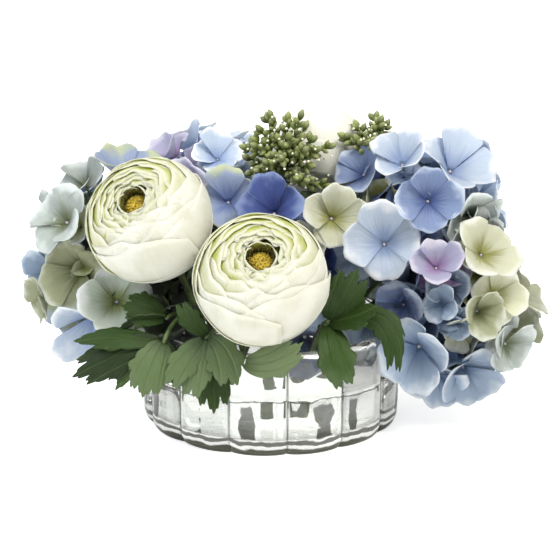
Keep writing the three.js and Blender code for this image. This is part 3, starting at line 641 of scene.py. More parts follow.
# Of each lobe: a point on its way, its tip, its width, teeth, tone from dark to pale, and the way it faces
front_leaves = {
    "ranunculus_left": [
        {
            "from": (-45.5, -22.5, 76), "via": (-62, -62, 96), "root": (-68, -80, 76),
            "lobes": [
                ((-98, -82, 84), (-126, -74, 76), 22, 3, 0.25, (0, -0.6, 0.9)),
                ((-98, -88, 74), (-127, -82, 54), 33, 5, 0.15, (-0.1, -0.9, 0.5)),
                ((-85, -90, 68), (-99, -87, 47), 15, 3, 0.7, (-0.1, -0.95, 0.3)),
                ((-62, -86, 66), (-61, -88, 50), 17, 3, 0, (0.1, -0.95, 0.3)),
                ((-76, -97, 68), (-81, -96, 45), 34, 5, 0.85, (0, -0.95, 0.4)),
            ],
        },
        {
            "from": (-45.5, -22.5, 76), "via": (-60, -45, 90), "root": (-67, -64, 88),
            "lobes": [
                ((-80, -72, 98), (-95, -69, 98), 29, 5, 0.3, (0.1, -0.8, 0.6)),
                ((-82, -70, 90), (-97, -71, 82), 24, 3, 0.1, (0, -0.5, -0.8)),
            ],
        },
    ],
    "ranunculus_right": [
        {
            "from": (-5, -39, 70), "via": (-30, -68, 92), "root": (-41, -82, 80),
            "lobes": [
                ((-55, -99, 74), (-64, -100, 52), 23, 4, 0.75, (-0.2, -0.95, 0.3)),
                ((-46, -98, 72), (-51, -101, 45), 27, 4, 0.95, (-0.1, -0.95, 0.4)),
                ((-36, -93, 60), (-36, -95, 34), 32, 5, 0.2, (0.1, -0.95, 0.3)),
                ((-26, -99, 76), (-26, -102, 53), 29, 4, 0.8, (0.1, -0.95, 0.4)),
                ((-52, -88, 92), (-57, -87, 106), 18, 4, 0.25, (-0.3, -0.9, 0.2)),
            ],
        },
        {
            "from": (-5, -39, 70), "via": (-12, -74, 84), "root": (-18, -94, 68),
            "lobes": [((0, -104, 66), (20, -105, 85), 27, 5, 0.9, (0, -0.95, 0.3))],
        },
    ],
    "ranunculus_back": [],
}
picks = {
    "foliage_right": {
        "foot": (20, -26), "via": (28, -58, 84), "end": (37, -72, 88),
        "lobes": [
            ((44, -84, 104), (54, -87, 127), 33, 5, 0.35, (0.1, -0.95, 0.3)),
            ((52, -86, 94), (66, -92, 104), 22, 3, 0.2, (0, -0.75, 0.65)),
            ((84, -90, 112), (76, -98, 58), 22, 4, 0.3, (-0.1, -0.9, 0.4)),
            ((40, -98, 74), (47, -98, 51), 29, 4, 0.45, (0, -0.95, 0.35)),
        ],
    },
    "foliage_back_left": {
        "foot": (-30, 26), "via": (-54, 48, 90), "end": (-70, 62, 84), "out": (-0.7, 0.7, 0),
    },
    "foliage_back": {"foot": (12, 46), "via": (16, 74, 92), "end": (20, 92, 84), "out": (0.15, 1, 0)},
    "foliage_back_right": {"foot": (38, 24), "via": (64, 34, 92), "end": (86, 44, 84), "out": (0.9, 0.45, 0)},
}


def hanging_lobes(root, away):
    """Three lobes that hang outward and down from a pick's end"""
    aside = np.cross(away, (0, 0, 1))
    lobes = []
    for way in (-1, 0, 1):
        share = HANGING["side"] if way else 1
        reach, drop, spread = HANGING["reach"] * share, HANGING["drop"] * share, HANGING["spread"] * way
        via = root + 0.8 * away * reach + 0.5 * aside * spread + np.array((0, 0, 5))
        tip = root + away * reach + aside * spread - np.array((0, 0, drop))
        facing = away + np.array((0, 0, 0.6)) + 0.4 * way * aside
        lobes.append((via, tip, HANGING["width"], HANGING["teeth"], HANGING["tone"], facing))
    return lobes


def add_leaf(form, root, via, radius, lobes):
    """The lobes of a leaf, one just behind the other along the end of its stalk"""
    back = unit(np.array(via) - root)
    for k, lobe in enumerate(lobes):
        leaf_lobe(form, root + back * (radius / 2 + LOBE_APART * k), lobe, lobe_draw)


lobe_draw = seeded(77)
for name, pick in picks.items():
    root = np.array(pick["end"], float)
    lobes = pick["lobes"] if "lobes" in pick else hanging_lobes(root, unit(pick["out"]))
    stalk, blades = Form(), Form()
    stalk.add(*stem_tube(pick["foot"], pick["via"], root, PICK_STEM))
    stalk.piece(name + "_stalk", stem_green, [name], "leaf")
    add_leaf(blades, root, pick["via"], PICK_STEM, lobes)
    blades.piece(name + "_leaf", leaf_finish, [name], "leaf")

# Ranunculus: some fifty thin fabric petals in rings, one inside the other, closing in on a small well.
# The outer ones are ivory and wrap the globe; the inner ones are yellow-green and stand on edge. Golden
# grains fill the button, brown stamens ring it, and a green calyx holds the globe on its stem.
GLOBE = 41
FLATNESS = 0.93
PETAL_SHEET = 0.45
PETAL_ROWS, PETAL_COLUMNS = 13, 21
NEST_SHIFT = 1.8
NEST_WAY = 2.2
WELL_FLOOR = 17
WELL_PETALS = 6
GRAINS = 110
STAMENS = 64
BUTTON_RADII = np.array([6.7, 6.7, 5.6])
RANUNCULUS_STEM = 2.4
GOLDEN_ANGLE = math.pi * (3 - math.sqrt(5))
NEAR_SIDE = math.radians(-70)
# Angle of the rim from the flower's axis, distance as a share of the globe, petals, half width, and how far
# each petal's corners drop and its rim closes in on the near side, in degrees
petal_rings = [
    (97, 1.004, 3, 78, 34, 2), (77, 1.0, 4, 68, 22, 30), (64, 0.985, 5, 54, 17, 26),
    (53, 0.965, 5, 52, 14, 21), (45, 0.945, 5, 50, 11, 16), (38, 0.925, 5, 48, 8, 11),
    (32, 0.9, 5, 47, 5, 7), (27, 0.875, 5, 46, 2, 4), (23, 0.845, 5, 46, 0, 2), (19.5, 0.81, 4, 54, 0, 1),
]
# Radius and height of the green base under the petals, of the button and of the calyx
base_profile = (
    (8, -32.2), (10, -32), (17, -29.5), (24, -24), (28, -16), (30, -4), (28, 8), (20, 15), (11, 16.8),
    (9.5, 16.9),
)
button_profile = ((6.6, 17.1), (7, 19), (6.6, 21), (5.4, 22.4), (3.4, 23.2), (1.2, 23.5))
calyx_profile = ((2.2, -44), (3.4, -42), (5.6, -38.5), (7.8, -36.3), (8.8, -34), (9, -32.4))
ranunculus = {
    "ranunculus_left": {
        "centre": (-78, -52, 150), "axis": (-0.3, -0.73, 0.62), "size": 41, "spin": 0.4, "pale": 0,
        "foot": (-26, -16), "via": (-50, -24, 86),
    },
    "ranunculus_right": {
        "centre": (-6, -86, 120), "axis": (0, -0.726, 0.688), "size": 42, "spin": 1.5, "pale": 0,
        "foot": (-4, -30), "via": (-5, -40, 76),
    },
    "ranunculus_back": {
        "centre": (32, 52, 172), "axis": (0.15, 0.5, 0.85), "size": 38, "spin": 2.3, "pale": 1,
        "foot": (6, 30), "via": (16, 34, 90),
    },
}


def globe_petals(form, place, spin, pale, draw):
    across = np.linspace(-1, 1, PETAL_COLUMNS)[None, :]
    share = np.linspace(0, 1, PETAL_ROWS)[:, None]
    for ring, (rim, shell, count, half_width, corner, closing) in enumerate(petal_rings):
        depth = ring / (len(petal_rings) - 1)
        for petal in range(count):
            turn = spin + 2 * math.pi * (petal + 0.45 * ring) / count + 0.25 * (draw() - 0.5)
            azimuth = turn + math.radians(half_width) * across
            top = rim + 6 * (1 - 0.6 * depth) * (draw() - 0.5) + corner * np.abs(across) ** 2.6
            top = top + 1.9 * np.sin(across * (4 + 3 * draw()) + 6 * draw())
            top = top + 0.7 * np.sin(across * 11 + 6 * draw())
            top = top - closing * np.clip(np.cos(azimuth - NEAR_SIDE), 0, 1)
            start = 132 if ring < 2 else rim + 46
            angle = np.radians(start + (top - start) * share)
            phase, folds = 6 * draw(), 5 + 5 * draw()
            crease = 0.28 * np.sin(folds * across + phase + share) * share
            flare = (0.6 - 0.9 * depth) * share**7 - (0.3 + 0.5 * depth) * (1 - share)
            shift = -NEST_SHIFT * depth * np.cos(azimuth - spin - NEST_WAY)
            distance = GLOBE * shell + 0.8 * across + crease + flare + shift
            radius = distance * np.sin(angle)
            height = FLATNESS * distance * np.cos(angle)
            grid = np.stack([radius * np.cos(azimuth), radius * np.sin(azimuth), height], axis=-1)
            marks = sheet_marks(share, np.abs(across), np.full_like(share, depth))
            marks[len(marks) // 2 :, 2] += 0.25
            own = np.array([draw(), 0.5 - 0.5 * math.cos(turn - NEAR_SIDE), pale])
            points, *sheet = thin_sheet(grid[:, ::-1], PETAL_SHEET)
            form.add(place(points), *sheet, spot=marks, own=own)
    # The innermost petals stand round the well
    across = np.linspace(-1, 1, 11)[None, :]
    height = np.linspace(0, 1, 9)[:, None]
    for petal in range(WELL_PETALS):
        azimuth = spin + 0.4 + 2 * math.pi * petal / WELL_PETALS + math.radians(38) * across
        top = 11 + 3 * draw() - 2.5 * across**2
        radius = 10.5 + 0.4 * height + 0.5 * across + 0.4 * draw() - 1.6 * height**4
        rise = WELL_FLOOR + top * height
        grid = np.stack([radius * np.cos(azimuth), radius * np.sin(azimuth), rise], axis=-1)
        marks = sheet_marks(0.3 + 0.7 * height, 0 * azimuth, np.ones_like(height))
        points, *sheet = thin_sheet(grid[:, ::-1], PETAL_SHEET)
        form.add(place(points), *sheet, spot=marks, own=np.array([draw(), 0, pale]))
    points, faces = ringed(turned(*np.transpose(base_profile), 24))
    form.add(place(points), faces, spot=np.array([0.1, 0, 1.0]), own=np.array([0.5, 0, pale]))


def thread_noise(tree, across_mark, along_mark, own_mark, sizes, detail):
    """Creases that run from a petal's foot to its rim, other ones on each petal"""
    shares = zip("XYZ", (across_mark, along_mark, own_mark), sizes)
    sockets = {axis: times(share, size) for axis, share, size in shares}
    return noise(add_node(tree, "ShaderNodeCombineXYZ", sockets).outputs["Vector"], 1.0, detail)


ivory_fabric, tree = new_material("ranunculus_fabric")
along_mark, across_mark, depth_mark = marks_of(tree, "spot")
own_mark, far_mark, pale_mark = marks_of(tree, "own")
grain_out = placed_group(tree, grain, Lump_Size=1300.0, Drift_Size=70.0)
creases = thread_noise(tree, across_mark, along_mark, own_mark, (16.0, 1.6, 37.0), 4.0)
inner = eased(plus(depth_mark, times(far_mark, 0.45)), 0.35, 0.95)
yellowness = times(inner, plus(times(eased(along_mark, 0.985, 0.78), 0.85), 0.13))
cream = mixed(eased(grain_out["Drift"], 0.4, 0.7), linear("f6f6f2"), linear("edede4"))
cream = mixed(yellowness, cream, linear("c3ca48"))
cream = mixed(eased(creases, 0.55, 0.8, 0.0, 0.22), cream, linear("dcdcbc"))
cream = mixed(eased(along_mark, 0.0, 0.28, 0.55, 0.0), cream, linear("c4cb92"))
cream = mixed(times(pale_mark, 0.85), cream, linear("fcfcfa"))
petal_height = plus(times(creases, 2.2), times(grain_out["Lumps"], 0.4))
petal_sockets = {
    "Base Color": cream,
    "Roughness": 0.62,
    "Sheen Weight": 0.15,
    "Normal": bumped(petal_height, 0.5, 0.0007),
}
put_out_fabric(tree, petal_sockets, mixed(0.4, cream, linear("f4f5c8")), 0.42)
FINE_GRAIN = ((1500.0, 500.0), (0.3, 0.7), (0.6, 0.0005))
golden_grains = plain_finish("golden_grains", ("8f7a1e", "cdb23f"), 0.8, *FINE_GRAIN)
brown_threads = plain_finish("stamen_threads", ("4e4420", "8f8248"), 0.8, *FINE_GRAIN)


def small_oval(length, radius, sides=6, rings=5, pointed=1.0):
    """A little oval body along +Z with its root at the origin"""
    shares = np.linspace(0.08, 0.94, rings)
    radii = radius * np.sin(np.pi * shares**pointed) ** 0.8
    return ringed(turned(radii, length * shares, sides), (0, 0, 0), (0, 0, length))


def turn_to(way):
    return np.array(Vector((0, 0, 1)).rotation_difference(Vector(unit(way))).to_matrix())


for number, (name, flower) in enumerate(ranunculus.items()):
    draw = seeded(501 + number)
    centre, axis = np.array(flower["centre"], float), unit(flower["axis"])
    scale = flower["size"] / GLOBE
    turn = turn_to(axis)

    def place(points, scale=scale, turn=turn, centre=centre):
        return np.asarray(points) * scale @ turn.T + centre

    petals, button, stamens, stalk, blades = (Form() for _ in range(5))
    globe_petals(petals, place, flower["spin"], flower["pale"], draw)
    petals.piece(name + "_globe", ivory_fabric, [name + "_petals"], "ranunculus_petals")

    points, faces = ringed(turned(*np.transpose(button_profile), 24))
    button.add(place(points), faces)
    for k in range(GRAINS):
        out = np.radians(3 + 88 * math.sqrt((k + 0.5) / GRAINS))
        spin = k * GOLDEN_ANGLE
        way = np.array([np.sin(out) * np.cos(spin), np.sin(out) * np.sin(spin), np.cos(out)])
        points, faces = small_oval(1.5 + 0.7 * draw(), 0.62, 6, 4)
        turn = turn_to(way + (0.4 * (draw() - 0.5), 0.4 * (draw() - 0.5), 0.3))
        seat = way * BUTTON_RADII + (0, 0, WELL_FLOOR + 0.6)
        button.add(place(points @ turn.T + seat), faces)
    button.piece(name + "_button_grains", golden_grains, [name + "_button"], "ranunculus_button")

    for k in range(STAMENS):
        angle = k * GOLDEN_ANGLE
        out = np.array([np.cos(angle), np.sin(angle), 0])
        aside = np.array([-out[1], out[0], 0])
        foot = out * (8.0 + 1.7 * draw()) + (0, 0, WELL_FLOOR)
        tip = foot + out * (0.8 - 2.0 * draw()) + aside * 1.6 * (draw() - 0.5) + (0, 0, 5.2 + 3.2 * draw())
        points, faces = tube(bend(foot, (foot + tip) / 2 + out * 0.9, tip, 5), 0.24, 6)
        stamens.add(place(points), faces)
        points, faces = small_oval(1.9, 0.55, 6, 4)
        turn = turn_to(tip - foot + out * 2 * (draw() - 0.5))
        stamens.add(place(points @ turn.T + tip - (0, 0, 0.4)), faces)
    stamens.piece(name + "_stamen_ring", brown_threads, [name + "_stamens"], "ranunculus_stamens")

    calyx_end = centre + axis * (-32 + 5) * scale
    stalk.add(*stem_tube(flower["foot"], flower["via"], calyx_end, RANUNCULUS_STEM))
    points, faces = ringed(turned(*np.transpose(calyx_profile), 20))
    stalk.add(place(points), faces)
    leaves = front_leaves[name]
    stalk_node = name + ("_leafy_stem" if leaves else "_stem")
    for leaf in leaves:
        stalk.add(*tube(bend(leaf["from"], leaf["via"], leaf["root"], 16), STALK_RADIUS, 8))
        add_leaf(blades, np.array(leaf["root"], float), leaf["via"], STALK_RADIUS, leaf["lobes"])
    stalk.piece(name + "_stalk", stem_green, [stalk_node], "leaf")
    if leaves:
        blades.piece(name + "_leaves", leaf_finish, [stalk_node], "leaf")

# Seed sprays: moulded twigs that branch from the top of a stem, thick with pointed green seeds,
# with a few pale flower buds the size of a pinhead among them.
SEED = {"length": 9, "radius": 2.3, "root": 0.4}
TWIG_APART = 1.2
SPRAY_STEM = 1.5
sprays = {
    "seed_spray_centre": {
        "foot": (6, 15), "via": (2, 26, 100), "end": (10, 9, 177), "rise": (0.03, -0.1, 1),
        "twigs": 14, "reach": 32, "spread": 92, "seed": 12,
    },
    "seed_spray_right": {
        "foot": (16, 14), "via": (52, 18, 100), "end": (66, 16, 183), "rise": (0.15, 0, 1),
        "twigs": 4, "reach": 22, "spread": 74, "seed": 23,
    },
}
seed_finish, tree = new_material("seed_coats")
along_mark, bud_mark, own_mark = marks_of(tree, "spot")
grain_out = placed_group(tree, grain, Lump_Size=900.0, Drift_Size=200.0)
olive = mixed(own_mark, linear("3f4d1b"), linear("77853f"))
olive = mixed(eased(along_mark, 0.3, 1.0, 0.0, 0.5), olive, linear("a6ab78"))
olive = mixed(bud_mark, olive, linear("ecebd0"))
seed_sockets = {"Base Color": olive, "Roughness": 0.5, "Normal": bumped(grain_out["Lumps"], 0.4, 0.0004)}
put_out(tree, principled(tree, seed_sockets))


def fanned(way, count, widest, twist):
    """Ways spread evenly round one way, by the golden angle"""
    number = np.arange(count)
    polar = np.arccos(1 - (number + 0.5) / count * (1 - math.cos(math.radians(widest))))
    azimuth = number * GOLDEN_ANGLE + twist
    side = np.sin(polar)
    ways = np.stack([side * np.cos(azimuth), side * np.sin(azimuth), np.cos(polar)], axis=-1)
    return ways @ turn_to(way).T


def corners_of(node):
    """The corners of a solid, to find which of its repeats it has"""
    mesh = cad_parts[node].data
    tree = kdtree.KDTree(len(mesh.vertices))
    for vertex in mesh.vertices:
        tree.insert(vertex.co, vertex.index)
    tree.balance()
    return tree


def has_corner(corners, spot):
    return corners.find(Vector(spot) * MM)[2] < 0.05 * MM


def add_seed(form, root, way, share, draw):
    points, faces = small_oval(SEED["length"] * share, SEED["radius"] * share, 8, 7, 1.15)
    marks = np.zeros_like(points) + (0, 0, draw())
    marks[:, 0] = points[:, 2] / (SEED["length"] * share)
    form.add(points @ turn_to(way).T + root, faces, spot=marks)


def add_twig(form, fork, tip, aside, seeds, draw):
    """A twig with a seed at its tip, and more in a spiral down from there"""
    way = unit(tip - fork)
    points, faces = tube(bend(fork, (fork + tip) / 2, tip, 6), np.linspace(1.0, 0.6, 6), 8)
    form.add(points, faces, spot=np.array([0, 0, 0.3]))
    add_seed(form, tip - way * SEED["root"], way, 1, draw)
    for step in range(seeds):
        out = np.array(Quaternion(Vector(way), GOLDEN_ANGLE * step) @ Vector(aside))
        lean = unit(way + out * (0.65 + 0.5 * draw()))
        share = 0.62 + 0.38 * draw()
        root = tip - (tip - fork) * 0.085 * step
        add_seed(form, root, lean, share, draw)
        if step % 3 == 1:
            points, faces = small_oval(2.0, 0.95, 6, 5)
            bud = root + lean * SEED["length"] * 0.8 + out * 1.5
            form.add(points @ turn_to(lean).T + bud, faces, spot=np.array([0.5, 1, 0.5]))


for name, spray in sprays.items():
    draw, own_draw = seeded(spray["seed"]), seeded(spray["seed"] + 900)
    corners = corners_of(name)
    end, via = np.array(spray["end"], float), np.array(spray["via"], float)
    growth = unit(end - via)
    form = Form()
    form.add(*stem_tube(spray["foot"], via, end, SPRAY_STEM), spot=np.array([0, 0, 0.2]))
    for k, way in enumerate(fanned(spray["rise"], spray["twigs"], spray["spread"], draw() * 6)):
        reach = spray["reach"] * (0.75 + 0.25 * draw())
        fork = end - growth * (0.9 + TWIG_APART * k)
        tip = fork + way * reach
        aside = unit(np.cross([draw() - 0.5, draw() - 0.5, draw() - 0.5], way))
        if has_corner(corners, tip + way * (SEED["length"] - SEED["root"])):
            add_twig(form, fork, tip, aside, 9, own_draw)
    # Finer twigs between them, where there is room
    for way in fanned(spray["rise"], 2 * spray["twigs"], spray["spread"], own_draw() * 6):
        fork = end - growth * 12 * own_draw()
        tip = fork + way * spray["reach"] * (0.6 + 0.4 * own_draw())
        if all(np.linalg.norm(tip - globe["centre"]) > globe["size"] + 7 for globe in ranunculus.values()):
            add_twig(form, fork, tip, unit(np.cross(way, (0.3, 0.9, 0.1))), 7, own_draw)
    form.piece(name + "_seeds", seed_finish, [name], "seed")

# Hydrangea heads: florets of four cupped fabric petals round a small bead, dyed from the middle outwards,
# each on a short stalk that roots in a round foam core. The large florets are those of the solids, and some
# more in the gaps between heads. Smaller and deeper ones fill what is left. Large florets are lifted, sunk or
# made smaller, and fillers left out, where they would cut through another.
FLORET_REACH = 26
FLORET_CUP = 10
FLORET_DEPTH = 14
FLORET_AREA = 1020
FLORET_SIZES = (1, 0.86, 0.74)
FLORET_LIFTS = (0, 3, -3)
FLORET_SPINS = 8
FLORET_SINK = 7
FLORET_SHEET = 0.45
FLORET_APART = 15
FLORET_STALK = 0.9
PETAL_HALF = 0.6
PETAL_LONG = 1.05
PETAL_SPOON = 3.4
GAP_CUP = 12
NEIGHBOURS_WITHIN = 60
# How near to another's bowl a floret counts as cutting through it, and how far fillers stay under it
NEAR_BOWL, UNDER_BOWL = 1.2, 3.5
FITTED_SIZES = (1, 0.92, 0.84, 0.76, 0.68)
FITTED_LIFTS = (0, 3, -3, 6, -6, 9, -9)
# How deep a filling floret may sit, with its size there
FILLER_SEATS = ((7, 0.85), (9, 0.7), (11, 0.6), (13, 0.5), (15, 0.62), (18, 0.5), (20, 0.75), (23, 0.6))
FILLER_APART = 12
FILLER_WIDEST, FILLER_LOWEST = 158, 40
DEEP_SEAT, DEEP_SIZE = 28, 0.8
DYE_DRIFT = 14
# Dyes of a floret: at its middle, over its blades, and along their rims
dyes = {
    "ice": ("7792b8", "b3c5da", "eaf1f6"),
    "pale": ("9fb4d8", "cddae9", "f5f8fb"),
    "periwinkle": ("556aa2", "8c9fc4", "d6e1ef"),
    "royal": ("26367f", "4a60a6", "8fa2cf"),
    "navy": ("252f4c", "56678c", "b4c3da"),
    "lavender": ("b08fbd", "bdbcd6", "e4e2ee"),
    "cream": ("a4a65c", "dadcc3", "f0f1e8"),
    "grey": ("6f7a58", "b4bdb8", "e0e6e4"),
    "olive": ("6c7340", "a5aa86", "d6dacb"),
    "slate": ("506585", "93a6bb", "d3dde6"),
    # Not a dye of the fabric: dark florets of painted shade, for the depth between leaves and heads
    "painted_shade": ("161d0c", "27331a", "45552f"),
    "white_green": ("94a062", "cbd5c8", "f0f4f4"),
    "green_rim": ("7488be", "a9b8d4", "cdd5b0"),
    "green_heart": ("8c9550", "b6bd9c", "cdd6e4"),
}
# Where in each head, in millimetres, a floret takes which dye
dyed_places = {
    "hydrangea_right_upper": {
        "ice": [
            (60, -45, 160), (104, -35, 176), (52, -34, 124), (120, 20, 190), (150, 0, 150), (132, -40, 146),
        ],
        "pale": [(76, -40, 178), (138, -20, 168), (74, -50, 130), (90, 10, 196)],
        "periwinkle": [(96, -46, 142), (101, -45, 158), (130, 50, 160), (60, -10, 190)],
        "cream": [(44, -30, 150)],
        "grey": [(150, -30, 128)],
        "slate": [(122, -45, 108)],
    },
    "hydrangea_right_lower": {
        "ice": [(105, -55, 60), (120, -45, 42)],
        "periwinkle": [(82, -46, 106)],
        "lavender": [(107, -60, 122)],
        "cream": [(168, -10, 100), (150, -45, 98), (140, -52, 129), (135, -55, 62)],
        "grey": [(160, -20, 118), (150, -30, 50)],
        "olive": [(140, -50, 80), (130, -64, 92), (165, 0, 70)],
        "slate": [(108, -60, 84), (92, -60, 78), (114, -58, 100), (96, -30, 108), (150, 20, 90)],
    },
    "hydrangea_left": {
        "pale": [(-118, -40, 66)],
        "periwinkle": [(-110, 60, 110)],
        "navy": [(-142, -35, 116)],
        "cream": [(-90, -50, 60)],
        "grey": [(-152, -20, 146), (-164, -10, 124), (-128, 0, 172)],
        "olive": [(-146, -25, 88), (-125, -45, 96)],
        "slate": [(-158, -10, 104), (-140, 40, 140)],
        # Painted shade: the dark depth between the front leaves under the left ranunculus
        "painted_shade": [(-66, -48, 78), (-54, -50, 66)],
        "white_green": [(-98, -52, 92)],
        "green_rim": [(-100, -20, 176), (-97, 8, 167)],
        "green_heart": [(-130, -35, 142), (-140, -20, 76)],
    },
    "hydrangea_centre": {
        "ice": [(30, -55, 125)],
        "pale": [(-20, -30, 148)],
        "royal": [(8, -36, 154), (10, -10, 152)],
        "navy": [(22, -54, 60)],
        "cream": [(36, -30, 152)],
        "slate": [(55, -50, 112)],
    },
    "hydrangea_back_left": {
        "ice": [(-30, 130, 140)],
        "pale": [(-60, 20, 178), (-35, 10, 176), (-40, 90, 192), (0, 60, 180)],
        "periwinkle": [(-80, 100, 150)],
        "lavender": [(-85, 40, 168)],
        "green_rim": [(-17, 39, 146), (-30, 4, 150)],
    },
    "hydrangea_back_right": {
        "ice": [(70, 110, 160), (40, 130, 90), (110, 60, 140)],
        "pale": [(100, 120, 120)],
        "periwinkle": [(60, 140, 110)],
        "grey": [(90, 130, 70)],
        "slate": [(120, 90, 100)],
    },
}
# Florets that stand in the gaps between heads: place, way they face, and size
gap_florets = {
    "hydrangea_centre": [
        ((1, -35, 152), (-0.2, -0.75, 0.62), 0.84), ((43, -31, 149), (0.25, -0.85, 0.45), 0.8),
        ((22, -47, 66), (0, -0.8, -0.55), 0.85), ((19, -27, 125), (0.05, -0.85, 0.4), 0.62),
    ],
    "hydrangea_right_upper": [
        ((73, -38, 131), (-0.15, -0.9, 0.35), 0.98), ((102, -33, 158), (0, -0.95, 0.3), 0.8),
        ((98, -34, 137), (0.1, -0.95, 0.2), 0.8), ((60, -1, 171), (-0.4, -0.6, 0.7), 0.76),
        ((51, -21, 122), (-0.5, -0.8, 0.2), 0.8),
    ],
    "hydrangea_right_lower": [
        ((95, -52, 63), (-0.35, -0.9, -0.1), 0.95), ((60, -44, 76), (-0.4, -0.85, -0.1), 0.75),
        ((82, -43, 88), (-0.4, -0.85, 0.05), 0.72), ((146, -42, 97), (0.3, -0.9, 0.2), 0.75),
        ((129, -39, 43), (0.25, -0.85, -0.35), 0.9), ((111, -37, 36), (-0.1, -0.85, -0.45), 0.75),
        ((151, -37, 64), (0.6, -0.75, -0.1), 0.8),
    ],
    "hydrangea_left": [
        ((-101, -46, 94), (0, -0.9, 0.35), 0.9), ((-66, -41, 84), (0.2, -0.8, -0.5), 0.85),
        ((-57, -42, 70), (0.2, -0.85, -0.4), 0.8), ((-126, 0, 163), (-0.35, -0.6, 0.7), 0.64),
        ((-150, 5, 98), (-0.75, -0.6, 0.1), 0.72),
    ],
    "hydrangea_back_left": [((-28, -8, 150), (-0.1, -0.85, 0.45), 0.8)],
    "hydrangea_back_right": [],
}
# Its middle, size, turn, the way from the head's middle to it, how deep its cup is, and its petals' lengths
Floret = namedtuple("Floret", "middle size turn out cup longs")


def floret_bowl(out, cup):
    """The height of a floret's bowl, at a share of its reach"""
    return (cup + FLORET_SINK) * np.clip(out, 0, 1.1) ** 1.1 - FLORET_SINK


def floret_petal(long, cup, own, rows, columns):
    """A petal along +X: a broad spoon on a narrow foot, leaning its own way, with its end rolled back"""
    broad, notch, rising, rolling = own
    along = np.linspace(0, 1, rows)[:, None] + np.zeros((1, columns))
    across = np.sin(np.linspace(-math.pi / 2, math.pi / 2, columns))[None, :] + 0 * along
    half = FLORET_REACH * PETAL_HALF * (0.92 + 0.16 * broad)
    length = FLORET_REACH * PETAL_LONG * long
    round_end = 0.5 + 0.5 * np.sqrt(1 - 0.98 * across**2) + 0.03 * np.sin(7 * across + 6 * notch)
    x = length * (0.05 + 0.95 * along) * (1 - (1 - round_end) * along**1.3)
    y = half * across * (0.12 + 0.88 * np.sin(math.pi / 2 * np.clip(along / 0.75, 0, 1)) ** 1.2)
    bowl = floret_bowl(np.hypot(x, y) / FLORET_REACH, cup)
    spoon = PETAL_SPOON * (across**2 - 0.5) * np.sin(math.pi / 2 * along)
    lean = x * 0.7 * (rising - 0.5) + y * 0.5 * (broad - 0.5)
    side_over = 1.3 * across * along**0.8
    ruffle = 1.1 * np.sin(4.5 * across + 6 * rising + 2 * along) * along**3
    rolled = -cup * (0.15 + 0.6 * rolling**2) * np.clip((along - 0.5) / 0.5, 0, 1) ** 2
    rolled = rolled * (1 - 0.5 * across**2)
    return np.stack([x, y, bowl + spoon + lean + side_over + ruffle + rolled], axis=-1), along, across


def placed(points, floret):
    return points * floret.size @ floret.turn.T + floret.middle


def add_floret(form, floret, cup, dye, draw, rows, columns):
    shade = 0.9 + 0.2 * draw()
    heart, blade, rim = (np.clip(np.array(linear(tint)) * shade, 0, 1) for tint in dye)
    for petal, long in enumerate(floret.longs):
        own = [draw() for _ in range(4)]
        grid, along, across = floret_petal(long, cup, own, rows, columns)
        angle = petal * math.pi / 2 + 0.12 * (draw() - 0.5)
        cos, sin = math.cos(angle), math.sin(angle)
        turn = np.array([[cos, sin, 0], [-sin, cos, 0], [0, 0, 1]])
        points, *sheet = thin_sheet(grid @ turn, FLORET_SHEET)
        marks = sheet_marks(along, np.abs(across), np.full_like(along, draw()))
        form.add(placed(points, floret), *sheet, spot=marks, heart=heart, blade=blade, rim=rim)


def add_plain(form, points, faces, tint):
    """A bead, stalk or core of one dye all over"""
    tint = np.array(linear(tint))
    form.add(points, faces, spot=np.array([0.5, 0, 0.5]), heart=tint, blade=tint, rim=tint)


def hydrangea_fabric(name):
    material, tree = new_material(name)
    along_mark, across_mark, own_mark = marks_of(tree, "spot")
    heart, blade, rim = (
        add_node(tree, "ShaderNodeAttribute", attribute_name=mark).outputs["Color"]
        for mark in ("heart", "blade", "rim")
    )
    grain_out = placed_group(tree, grain, Lump_Size=1400.0, Drift_Size=75.0)
    creases = thread_noise(tree, across_mark, along_mark, own_mark, (7.0, 1.5, 41.0), 3.0)
    reach = plus(along_mark, times(minus(creases, 0.5), 0.5))
    colour = mixed(eased(reach, 0.06, 0.52), heart, blade)
    side_rim = times(maths("POWER", across_mark, 4.0), maths("POWER", along_mark, 0.8))
    outer = larger(maths("POWER", along_mark, 1.6), side_rim)
    outer = plus(outer, times(minus(grain_out["Drift"], 0.5), 1.4))
    colour = mixed(eased(outer, 0.5, 1.0), colour, rim)
    vein_across = times(across_mark, 0.5)
    vein = placed_group(tree, veins, Along=along_mark, Across=vein_across, Branches=7.0, Slant=-0.8)["Vein"]
    colour = mixed(times(vein, 0.1), colour, heart)
    height = plus(times(creases, 2.0), times(grain_out["Lumps"], 0.5))
    sockets = {
        "Base Color": colour,
        "Roughness": 0.65,
        "Sheen Weight": 0.15,
        "Normal": bumped(height, 0.5, 0.0007),
    }
    put_out_fabric(tree, sockets, mixed(0.35, colour, linear("f2f5ff")), 0.38)
    return material


# Points over a floret's bowl, as shares of its reach and angles
PROBE_REACHES = (0, 0.35, 0.6, 0.8, 0.95, 1.08)
PROBE_ANGLES = np.linspace(0, 2 * math.pi, 16, endpoint=False)
probe_reach, probe_angle = (grid.ravel() for grid in np.meshgrid(PROBE_REACHES, PROBE_ANGLES))


def heights_over(one, other):
    """How far the points of one floret stand over the bowl of another, where they are within it"""
    flat = FLORET_REACH * probe_reach
    bowl = floret_bowl(probe_reach, one.cup)
    spots = np.stack([flat * np.cos(probe_angle), flat * np.sin(probe_angle), bowl], axis=-1)
    x, y, z = ((placed(spots, one) - other.middle) @ other.turn / other.size).T
    out = np.hypot(x, y) / FLORET_REACH
    return (z - floret_bowl(out, other.cup))[out < 0.86]


def cut_through(one, other):
    """Whether two florets cut through each other well inside their rims"""
    if np.linalg.norm(one.middle - other.middle) < NEIGHBOURS_WITHIN:
        for heights in (heights_over(one, other), heights_over(other, one)):
            if heights.size and heights.min() < NEAR_BOWL and heights.max() > -NEAR_BOWL:
                return True
    return False


